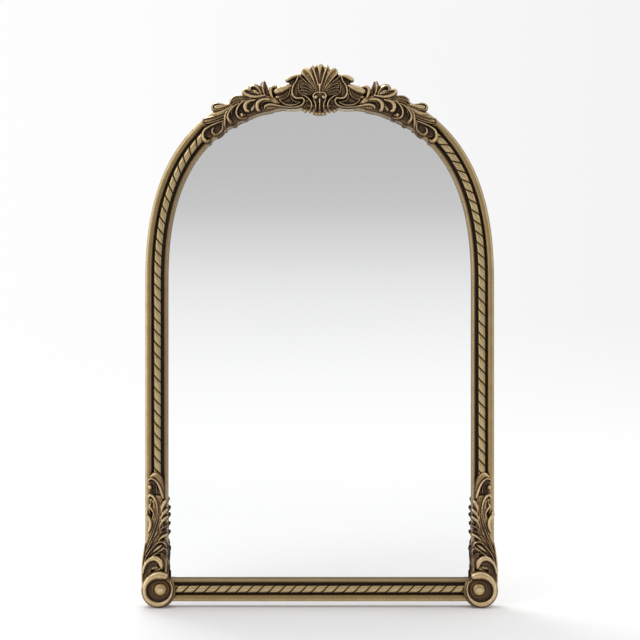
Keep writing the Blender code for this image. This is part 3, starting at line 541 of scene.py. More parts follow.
def make_ropes():
    """The rope beads of the arch, the sides and the bottom."""
    foot_end = FOOT_Z + FOOT_RADIUS - ROPE_WIDTH / 2
    end = ARCH_LENGTH + SPRING_HEIGHT - foot_end
    for name, side in SIDES.items():
        def curve(along, inset, side=side):
            x, z = arch_place(along, -inset)
            return side * x, z
        arch = rope(curve, ROPE_ARCH_START, ARCH_LENGTH, ROPE_PITCH, ROPE_PHASES[name], -side)
        arch = cut_at(arch, (0, 0, SPRING_HEIGHT + JOINT_GAP), (0, 0, -1))
        add_piece("rope_arch_" + name, arch, "gilt_rope", "rope_bead_arch_" + name, sharp_angle=60)
        upright = rope(curve, ARCH_LENGTH, end, ROPE_PITCH, ROPE_PHASES[name], -side)
        upright = cut_at(upright, (0, 0, SPRING_HEIGHT - JOINT_GAP), (0, 0, 1))
        upright = cut_at(upright, (0, 0, foot_end), (0, 0, -1))
        add_piece("rope_side_" + name, upright, "gilt_rope", "rope_bead_side_" + name, sharp_angle=60)
    reach = FOOT_X - FOOT_RADIUS + ROPE_WIDTH / 2

    def straight(along, inset):
        return along, GROUND_GAP + inset
    bottom = rope(straight, -reach, reach, BOTTOM_PITCH, phase=0, slope=1)
    for way in (1, -1):
        bottom = cut_at(bottom, (way * reach, 0, 0), (way, 0, 0))
    add_piece("rope_bottom", bottom, "gilt_rope", "rope_bead_bottom", sharp_angle=60)


# Carved strokes

SECTION_COUNT = 15
STROKE_STEP = 0.8 * MM
CAST_GRAIN = 0.6 * MM


def stroke_section(form):
    """How high a stroke stands across its width, as a share of its height."""
    a = np.abs(np.linspace(-1, 1, SECTION_COUNT))
    if form == "round":
        return (1 - a ** 2.2) ** 0.5
    if form == "ridge":
        return 0.5 * (1 - a) ** 1.1 + 0.5 * (1 - a ** 2) ** 1.5
    shoulder, middle = (0.7, 0.62 + 0.38 * (a / 0.7) ** 1.6) if form == "gutter" else (0.8, 1)
    fall = np.sqrt(np.clip(1 - ((a - shoulder) / (1 - shoulder)) ** 2, 0, 1))
    return np.where(a < shoulder, middle, fall)


def smooth_path(points, spacing):
    """Points along a Catmull-Rom curve, with each one's share of the way through the given points."""
    points = np.asarray(points, float)
    ends = np.vstack([2 * points[0] - points[1], points, 2 * points[-1] - points[-2]])
    made, shares = [], []
    last = len(points) - 1
    for index in range(last):
        before, start, end, after = ends[index:index + 4]
        steps = max(2, int(np.ceil(np.linalg.norm(end - start) / spacing)))
        t = np.arange(steps + (index == last - 1))[:, None] / steps
        bend = 2 * before - 5 * start + 4 * end - after
        twist = 3 * start - before - 3 * end + after
        made.append(0.5 * (2 * start + (end - before) * t + bend * t ** 2 + twist * t ** 3))
        shares.append((index + t[:, 0]) / last)
    return np.vstack(made), np.concatenate(shares)


def stroke_mesh(form, pixels, half_widths, reliefs, base=ORNAMENT_BASE):
    """One carved stroke: pixels along its middle, half widths in pixels, and reliefs in millimetres above the
    ornament's seat, each spread evenly along it. Both ends are rounded."""
    path, shares = smooth_path([place(*pixel) for pixel in pixels], STROKE_STEP)
    half = np.interp(shares, np.linspace(0, 1, len(half_widths)), half_widths) * PIXEL
    top = ORNAMENT_SEAT + np.interp(shares, np.linspace(0, 1, len(reliefs)), reliefs) * MM
    stations = list(zip(path, unit_rows(np.gradient(path, axis=0)), half, np.minimum(top, FRONT)))
    for end, sign in ((0, -1), (-1, 1)):
        point, heading, width, height = stations[end]
        extra = []
        for turn in (28, 52, 72, 86):
            reach, scale = math.sin(math.radians(turn)), math.cos(math.radians(turn))
            extra.append((point + sign * heading * width * reach, heading, width * scale,
                          base + (height - base) * (0.45 + 0.55 * scale)))
        stations = extra[::-1] + stations if sign < 0 else stations + extra
    across_shares = np.linspace(-1, 1, SECTION_COUNT)
    profile = stroke_section(form)
    wall = 0.1 if form == "ridge" else 0.3
    rings = []
    for point, heading, width, height in stations:
        across = np.array([-heading[1], heading[0]]) * width
        heights = base + (height - base) * (wall + (1 - wall) * profile)
        ring = [(point[0] + across[0] * u, depth(h), point[1] + across[1] * u)
                for u, h in zip(across_shares, heights)]
        low = [(point[0] + across[0] * u, depth(base), point[1] + across[1] * u) for u in (1, -1)]
        rings.append(ring + low)
    return ring_solid(rings)


def ball_mesh(pixel, radius, relief, base=ORNAMENT_BASE):
    """A round knob on the ornament's ground, its radius in pixels."""
    x, z = place(*pixel)
    top = min(ORNAMENT_SEAT + relief * MM, FRONT)
    size = radius * PIXEL
    profile = [(size * 0.98, base)]
    for turn in range(0, 91, 15):
        angle = math.radians(turn)
        profile.append((size * math.cos(angle), top - size * (1 - math.sin(angle)) * 0.9))
    return lathe(profile, (x, BACK_Y, z), 24, way=-1)


def joined(meshes):
    """Several meshes as one, still crossing each other."""
    bm = bmesh.new()
    for mesh in meshes:
        bm.from_mesh(mesh)
        bpy.data.meshes.remove(mesh)
    made = bpy.data.meshes.new("joined")
    bm.to_mesh(made)
    bm.free()
    return made


def cast(meshes, smoothing=3):
    """Melts crossing solids into one cast skin."""
    mesh = joined(meshes)
    made = new_object("cast", mesh)
    remesh = made.modifiers.new("remesh", "REMESH")
    remesh.mode = "VOXEL"
    remesh.voxel_size = CAST_GRAIN
    smooth = made.modifiers.new("smooth", "SMOOTH")
    smooth.factor = 0.5
    smooth.iterations = smoothing
    skin = applied(made)
    bpy.data.meshes.remove(mesh)
    return skin


def smoothed(points, edges, rounds):
    """Points averaged with their neighbours, several times."""
    count = len(points)
    ends = np.concatenate([edges[:, 0], edges[:, 1]])
    others = np.concatenate([edges[:, 1], edges[:, 0]])
    degree = np.maximum(np.bincount(ends, minlength=count), 1)
    for _ in range(rounds):
        mean = np.stack([np.bincount(ends, points[others, axis], count) for axis in range(3)], axis=1)
        points = 0.5 * points + 0.5 * mean / degree[:, None]
    return points


# The depths, under the smoothed skin, of an ordinary groove and of an ordinary hollow
FINE_HOLLOW = 0.09 * MM
BROAD_HOLLOW = 0.8 * MM


def carve_wash_and_shading(mesh, ground=ORNAMENT_SEAT, reach=9.5 * MM, both=False, hanging=0.75):
    """Wash and painted light of a cast piece of the left half: dark wash with painted shade where the skin is
    hollow, painted shade near the ground, rubbed where it stands proud, painted highlight where it faces up
    and outwards and painted shade where it faces down, inwards and back. A piece with both halves gets the
    painted highlight outwards on both; hanging is how far the painted shade near the ground is lifted from
    what hangs below it."""
    count = len(mesh.vertices)
    points = np.zeros(count * 3)
    normals = np.zeros(count * 3)
    mesh.vertices.foreach_get("co", points)
    mesh.vertices.foreach_get("normal", normals)
    points, normals = points.reshape(-1, 3), normals.reshape(-1, 3)
    edges = np.zeros(len(mesh.edges) * 2, np.int64)
    mesh.edges.foreach_get("vertices", edges)
    edges = edges.reshape(-1, 2)
    near = smoothed(points, edges, 6)
    far = smoothed(near, edges, 60)
    # Hollows take dark wash together with painted shade; proud crests are rubbed lighter
    fine = np.einsum("ij,ij->i", near - points, normals) / FINE_HOLLOW
    broad = np.einsum("ij,ij->i", far - points, normals) / BROAD_HOLLOW
    stand = BACK_Y - points[:, 1] - ground
    # Painted shade near the ground, with the wash there, lifted by hanging where the skin hangs below the
    # ground
    low = 1 - np.clip(stand / reach, 0, 1) - hanging * np.clip(-stand / (8 * MM) - 0.2, 0, 1)
    outward = -normals[:, 0] * (np.clip(-points[:, 0] / (20 * MM), -1, 1) if both else 1)
    # Painted light: faces turned up and outwards are lit, faces turned down, inwards and back are shaded
    painted_light_facing = 0.8 * outward + 0.55 * normals[:, 2] - 0.4 * (normals[:, 1] + 1)
    value = (0.16 + 0.20 * np.clip(fine, -1, 1.5) + 0.30 * np.clip(broad, -0.7, 2) + 0.62 * low ** 1.3
             - 0.38 * painted_light_facing)
    set_wash_and_shading(mesh, np.clip(value, 0, 1))


# Ornament, drawn on the left half of the photograph. A row is a form, pixels along the stroke, half widths in
# pixels, reliefs in millimetres and, where the stroke reaches lower than the rail's front, its base

# How low the parts reach that lap over the sight edge, towards the glass
TONGUE_BASE = 14 * MM
# The shell's skirt and the scroll's tendril reach lower still
SKIRT_BASE = 11.5 * MM

# A flat row is the low ground between strokes; lying low, it takes painted shade along with the wash
SPRAY_STROKES = [
    ("flat", [(270, 103), (258, 104.5), (247, 108.5), (237, 113), (227, 118.5), (218, 124.5), (209, 132)],
     (7.5, 8.5, 8.5, 8.5, 8, 7, 5.5), (0.3,)),
    ("round", [(276, 102), (266, 97.6), (255, 97.8), (244, 100), (234, 104.4), (225, 110.6), (214, 118.4),
     (205, 124)], (2.6, 3.6, 3.8, 3.8, 4, 4.2, 4.4, 2.6), (5, 5.5, 5.5, 5.5, 5.5, 5.5, 5, 4)),
    ("ridge", [(267.6, 98.4), (264.8, 94.6), (263.2, 91), (262.9, 87), (263.4, 82.8)], (1.1, 2.3, 3.6, 3.9,
     2.6), (5, 8, 10.4, 10.9, 9.6)),
    ("round", [(267.4, 96), (267, 91.6), (266.4, 87.4), (265.2, 83.8)], (1, 1.3, 1.4, 1), (1, 1.4, 1.4, 1)),
    ("ridge", [(262, 96.4), (260.4, 92), (257.8, 88.4), (254.4, 86.4), (251.4, 86.8), (250.4, 89.2),
     (251.8, 91.6), (254.6, 93), (258, 94)], (2, 3, 3.4, 3.3, 2.9, 2.6, 2.4, 2.2, 1.6), (7, 9, 10.2, 10.4,
     10.2, 9.8, 9.4, 8.8, 7.6)),
    ("round", [(252.8, 90), (255.6, 91.8), (258.6, 93.6)], (1.6, 2.6, 2), (6, 7.6, 7.2)),
    ("round", [(262, 96.4), (255, 95), (249, 93.4), (245, 92.4)], (1.8, 3, 3.2, 2.4), (5, 5, 5, 5.5)),
    ("round", [(264.4, 95.6), (261, 96.2), (255.7, 96.9), (249.5, 96), (245.4, 94), (243.5, 91.9),
     (244.8, 90.2), (247.4, 89.8), (250, 90.8)], (1.3, 1.6, 1.9, 2.1, 2.2, 2, 1.7, 1.3, 1), (8.6, 9, 9.6,
     9.8, 10.2, 10.2, 9.6, 8.4, 7)),
    ("round", [(250, 99.8), (243, 98.8), (237, 98.8), (232.6, 100.2)], (2.4, 3.6, 4, 3.2), (6, 7, 7.4, 7)),
    ("ridge", [(246, 96.4), (240, 96.2), (235, 96.8), (231.6, 99.4), (230.2, 103)], (1.2, 1.7, 1.8, 1.7,
     1.4), (8, 9, 9.6, 9.2, 8)),
    ("ridge", [(251, 98.6), (244, 98.4), (237, 99), (231.6, 101.2)], (1, 1.5, 1.5, 1.2), (7.6, 9, 9.4,
     8.6)),
    ("ridge", [(249, 100.6), (242, 101), (235.6, 102.6), (231, 104.6)], (1, 1.5, 1.5, 1.2), (7.6, 8.6, 8.8,
     7.6)),
    ("round", [(269.5, 99.6), (264.4, 99.3), (260.6, 100.5), (257.9, 102.9), (257, 106), (257.7, 109.2),
     (259.2, 110.2)], (1.4, 2, 2.4, 2.7, 2.7, 2.3, 1.6), (8, 9, 9.8, 10, 10, 9.2, 7)),
    ("ridge", [(270, 101.4), (265.6, 101.4), (262.4, 103.2), (260.8, 106)], (1, 1.3, 1.3, 0.9), (6, 6.6,
     6.6, 5.6)),
    ("round", [(255, 100), (250.5, 100.8), (247.2, 102.4), (245.4, 104.8), (245, 107.6), (246, 110.2),
     (248.2, 111)], (1.2, 1.8, 2.4, 2.8, 2.8, 2.4, 1.6), (8, 9, 9.8, 10, 10, 9.2, 7.4)),
    ("round", [(254.4, 103), (254, 106.4), (251.8, 109.4)], (1.3, 2.2, 2), (3, 4.4, 4.4)),
    ("round", [(247, 100.4), (242.6, 102), (239.6, 104.8), (237.6, 108), (236.5, 111.2), (236.5, 114.2),
     (237.8, 116.6), (240.4, 117.9), (243.8, 118), (247, 117)], (1, 1.5, 1.6, 1.7, 1.7, 1.7, 1.7, 1.8, 1.8,
     1.3), (7, 8, 9, 9.6, 9.8, 9.4, 7.6, 5, 3.4, 2), TONGUE_BASE),
    ("round", [(242.2, 114.8), (244.2, 115)], (2.6, 1.4), (10, 5)),
    ("round", [(239.4, 103.2), (234.8, 105.6), (231, 109.4), (228.6, 113.2), (227.7, 116.8), (228.6, 119.8),
     (231, 122.2), (234, 123)], (1, 1.5, 1.6, 1.7, 1.9, 2.5, 3.2, 2.9), (7, 8, 9, 9.6, 9.4, 7, 3.4, -2),
     TONGUE_BASE),
    ("ridge", [(234.5, 107.2), (232, 111), (230.9, 115.4)], (0.9, 1.3, 1), (5, 6, 5.4)),
    ("round", [(233.5, 104.8), (229, 108.8), (226, 113.5), (224.8, 119), (224.5, 124.5), (225, 128.6)], (1,
     1.5, 1.7, 1.7, 1.6, 1.3), (6, 7, 7.4, 7, 5, 1)),
    ("round", [(229, 104.6), (224, 105.8), (219.6, 106.8), (216.2, 107.3)], (1.4, 2.6, 3.6, 3.8), (6.5, 8,
     8.6, 8.4)),
    ("ridge", [(226, 104.6), (221.4, 104.2), (217.2, 103.7), (213.9, 104.8), (212.6, 107), (213.8, 109.6),
     (217.4, 110.4), (222, 109.4), (226.4, 107.6)], (1.1, 1.5, 1.8, 1.8, 1.8, 1.8, 1.7, 1.4, 1), (8, 9.4,
     10.2, 10.4, 10.4, 10.2, 10, 9, 7.6)),
    ("round", [(228, 108.6), (223.3, 111.4), (218.8, 113.2), (214.8, 114)], (1.4, 2.3, 2.5, 1.9), (7, 8.4,
     9, 8.4)),
    ("round", [(225, 114.4), (217.5, 117.6), (211, 119.9), (205.6, 120.6)], (2.2, 3.6, 4.2, 2.8), (5.5, 6.4,
     6.8, 7)),
    ("ridge", [(225, 112.8), (217.4, 115.4), (211.6, 117.2), (206.8, 118.4), (203.9, 119.4),
     (203.2, 121.4)], (1.2, 1.8, 2, 2, 1.9, 1.4), (7.6, 9, 9.4, 9.6, 9.6, 8.6)),
    ("ridge", [(224.6, 115.6), (216.5, 118.8), (209.5, 121)], (1.1, 1.5, 1.2), (7.4, 8.6, 8)),
    ("ridge", [(224.4, 118), (217, 120.9), (210.4, 123), (204.6, 124)], (1.1, 1.7, 1.8, 1.5), (7.6, 8.8,
     9.2, 8.4)),
    ("round", [(223.2, 121), (218.2, 122.6), (213, 124.8), (208, 127.4), (204.6, 130.2), (203, 133.8),
     (203, 137.4), (204.6, 140), (207.2, 141), (209.4, 139.6)], (0.9, 1.2, 1.3, 1.5, 1.8, 2.1, 2.5, 2.9,
     2.9, 2), (8, 8.8, 9, 9.4, 9.6, 9.8, 9.4, 8, 5, 2), TONGUE_BASE),
    ("round", [(222.4, 122.4), (222.6, 126), (222.1, 129.6), (219.2, 132.6), (215.6, 134.3), (212.7, 133),
     (212.1, 130.3), (213.6, 127.8)], (1.1, 1.5, 2, 2.4, 2.5, 2.1, 1.5, 1), (6, 5, 2.8, 2, 3, 6.6, 8.4,
     7.6), TONGUE_BASE),
]

SCROLL_STROKES = [
    ("flat", [(303, 99.5), (294, 100.5), (284, 100.5), (272, 101), (262, 103)], (7, 6.5, 6, 6, 6), (0.5,)),
    ("round", [(299.4, 80), (296, 88), (294.6, 96), (287, 99.6), (279, 99.6)], (2.6, 4, 4.2, 3.6, 2.6),
     (2.4, 2.2, 2, 2, 2)),
    ("round", [(298.2, 75.6), (296.4, 81), (293.9, 84.8), (292.4, 89), (292.2, 93), (293.4, 96.2),
     (295.8, 98), (298.4, 98.2)], (1.4, 1.1, 1.2, 1.3, 1.4, 1.5, 1.6, 1.3), (8, 8.6, 9.4, 9.8, 9.8, 9.6,
     9.4, 9)),
    ("round", [(297, 75.6), (293.8, 76.5), (290.4, 77.9), (287.5, 79.7)], (1.3, 2.1, 2.5, 2.4), (9, 10.6,
     10.8, 9.6)),
    ("round", [(297.4, 77.6), (293.6, 80.2), (289.6, 81.6)], (2.2, 2.4, 1.3), (0.6, 0.4, 0.4)),
    ("flat", [(290.6, 87), (292.2, 83), (295.2, 79.6)], (2.6, 2.8, 2.2), (1.2,)),
    ("round", [(290.4, 85.8), (286, 87.7), (281.4, 89.5), (276.7, 91.1)], (2.1, 3.3, 4.1, 3.7), (7.6, 9.8,
     10.9, 10.6)),
    ("round", [(290.4, 90.4), (285.6, 94.4), (280.4, 96.6), (277, 96.8)], (1.8, 3, 3.2, 2.2), (4.4, 5, 5,
     4.4)),
    ("ridge", [(287.6, 91.4), (283.4, 95), (279, 96.8)], (0.9, 1.3, 0.9), (7.2, 8, 7)),
    ("round", [(278.6, 102.6), (275, 99.8), (272.2, 96.8)], (1.6, 1.9, 1.7), (3.6, 4.6, 5)),
    ("round", [(272.6, 97.6), (271, 94.2), (270.5, 90.8), (271.3, 88), (273.5, 86.8), (275.8, 86.8)], (1.2,
     2, 2.3, 2.2, 1.9, 1.6), (7.6, 9.4, 10, 10.2, 9.8, 9)),
    ("ridge", [(289.9, 87.8), (289.5, 92.6), (287.8, 96.2), (284.4, 98.6), (280.6, 99.4)], (1.2, 1.6, 1.7,
     1.6, 1.2), (7.5, 9, 9, 8.8, 7.6)),
    ("ridge", [(279.2, 98.4), (280.6, 101.2), (283.6, 103.6), (287.6, 105), (292, 105.2), (296.5, 104.2),
     (300.2, 102.4)], (1.3, 1.7, 1.8, 1.8, 1.8, 1.7, 1.4), (7.4, 9, 9.2, 9.2, 9.2, 8.8, 7.4)),
    ("ridge", [(290.9, 93.5), (291.2, 97.8), (292.8, 100.4), (295.8, 101.8), (299, 102)], (1.1, 1.4, 1.5,
     1.4, 1.1), (7, 8.2, 8.6, 8.2, 7)),
    ("round", [(297, 98.8), (299.8, 98.3), (302.6, 98.3), (304.3, 100.8), (303, 103.8), (299.8, 105.8),
     (295, 106.8), (289.5, 107), (283.5, 106.4), (277.5, 105.5), (272.5, 104.7), (268.6, 104.8),
     (265.2, 106.2), (264.6, 108.2)], (1.3, 1.7, 1.8, 1.5, 1.4, 1.3, 1.3, 1.3, 1.3, 1.6, 2, 2.2, 2, 1.4),
     (8, 9.4, 9.6, 9.4, 8.6, 6.8, 5.2, 4.8, 5.4, 7.2, 8.6, 9.4, 9, 6.6), SKIRT_BASE),
    ("round", [(278, 107), (272, 107), (267.6, 107.4)], (1, 2.1, 1.8), (2.6, 4.4, 4.2)),
]

SHELL_STROKES = [
    ("flat", [(319.65, 92), (319.65, 80), (319.65, 69)], (5.5, 6.5, 5.5), (5.2,)),
    ("flat", [(316, 88), (311.5, 80), (307.5, 74)], (4.5, 6, 4.6), (5.2,)),
    ("flat", [(312, 90.5), (305, 86), (302.4, 81)], (4, 5.4, 3.6), (5,)),
    ("flat", [(310, 92), (303.4, 90.6)], (3.6, 5.2), (4.6,)),
    ("flat", [(319.65, 94), (319.65, 102), (319.65, 108.4)], (8, 7.4, 5.2), (4, 2, -8), SKIRT_BASE),
    ("round", [(319.65, 84), (319.65, 76), (319.65, 70), (319.65, 67)], (0.6, 1.3, 2.8, 3.6), (4, 6, 10,
     10.9)),
    ("ridge", [(318.9, 82), (318.3, 75), (317.7, 69.6), (317.3, 66)], (0.6, 1, 1.4, 1.9), (3, 4.4, 7, 8.6)),
    ("gutter", [(317.2, 86), (315.2, 78.6), (313.2, 72), (312.6, 68.8)], (0.8, 1.6, 2.6, 3), (6, 7.6, 9,
     9.4)),
    ("round", [(318.2, 85), (316.3, 78.2), (314, 71.6), (312.2, 67)], (0.9, 1.3, 1.5, 2), (9, 10.6, 10.9,
     10.6)),
    ("gutter", [(315.2, 88.4), (312, 82), (308.6, 76.2), (305.9, 72.6)], (1, 2.8, 4.2, 4.9), (6.5, 8.8,
     10.4, 10.8)),
    ("ridge", [(314.2, 87), (310.9, 80.6), (307.8, 76)], (0.9, 1.6, 2), (7.6, 8.8, 9.2)),
    ("ridge", [(314, 90), (309.6, 85.4), (305.2, 81.4), (301.8, 78.4), (299.6, 76)], (0.9, 1.6, 1.9, 2.2,
     2.4), (7.4, 8.6, 8.6, 9.4, 9.4)),
    ("ridge", [(313.6, 91), (309.8, 87.4), (305.4, 84.6), (301.2, 83.4)], (0.9, 1.4, 1.7, 1.4), (7.6, 9,
     9.4, 8.4)),
    ("ridge", [(312.8, 91.6), (308.8, 89.2), (304.4, 87.6), (300.4, 87.4)], (0.9, 1.4, 1.6, 1.4), (7.4, 8.4,
     8.8, 8)),
    ("ridge", [(312, 93), (308, 91.6), (303.8, 90.6), (300.4, 91)], (0.9, 1.3, 1.5, 1.2), (7.2, 8, 8.2,
     7.4)),
    ("ridge", [(311, 95), (307.6, 94.2), (304.4, 94)], (0.9, 1.3, 1.1), (7.2, 7.8, 7.2)),
    ("ridge", [(300, 80.6), (298.6, 84.6), (298.5, 88.8), (299.6, 92.6), (302.4, 95.2), (305.8, 96)], (0.9,
     1.3, 1.5, 1.6, 1.6, 1.3), (6.4, 7.4, 8, 8.2, 8.2, 7.8)),
    ("round", [(319.65, 91.6), (319.65, 88), (319.65, 85.2)], (1, 1.6, 2), (10.2, 10.8, 10.9)),
    ("round", [(319.65, 92.8), (316.6, 92.6), (314.4, 93.8), (313.2, 96), (314.2, 98), (316, 98.2)], (1.1,
     1.1, 1.2, 1.4, 1.4, 1.2), (8.4, 8, 8.4, 9.8, 9.6, 9.2)),
    ("round", [(319.65, 99), (319.65, 103.6), (319.65, 108.4), (319.65, 111.8)], (2, 1.4, 1.4, 1.8), (7.6,
     9.6, 4, -7), SKIRT_BASE),
    ("round", [(313.4, 99.4), (315, 102.4), (315.7, 106), (315.2, 109), (313.6, 111.2)], (0.9, 1.3, 1.4,
     1.5, 1.6), (8, 9.4, 8, 1, -7), SKIRT_BASE),
    ("round", [(305.2, 96.2), (308.8, 99), (311.1, 102.4), (311.7, 105.4), (311.1, 107.6), (309.6, 109.3)],
     (1.1, 1.3, 1.4, 1.6, 1.7, 1.5), (8, 9, 9, 7.4, 2, -5), SKIRT_BASE),
    ("flat", [(307.5, 101), (308.4, 106)], (3.8, 3), (3.4, -6), SKIRT_BASE),
    ("ridge", [(305.6, 101.4), (307.4, 104.4), (306.8, 107.4)], (1.1, 1.7, 1.4), (6, 6, -2), SKIRT_BASE),
]

# The shell's round knobs: pixel, radius in pixels and relief in millimetres
SHELL_BALLS = [((316.1, 96.9), 1.4, 10), ((316.3, 112), 1.5, -7), ((305, 108.8), 1.6, -8),
               ((302.2, 107.5), 1.2, -6)]

# How low the leaf's tips reach over the sight edge, and its side strip over the rail's outer edge
TIP_BASE = 17 * MM
LAP_BASE = 15 * MM

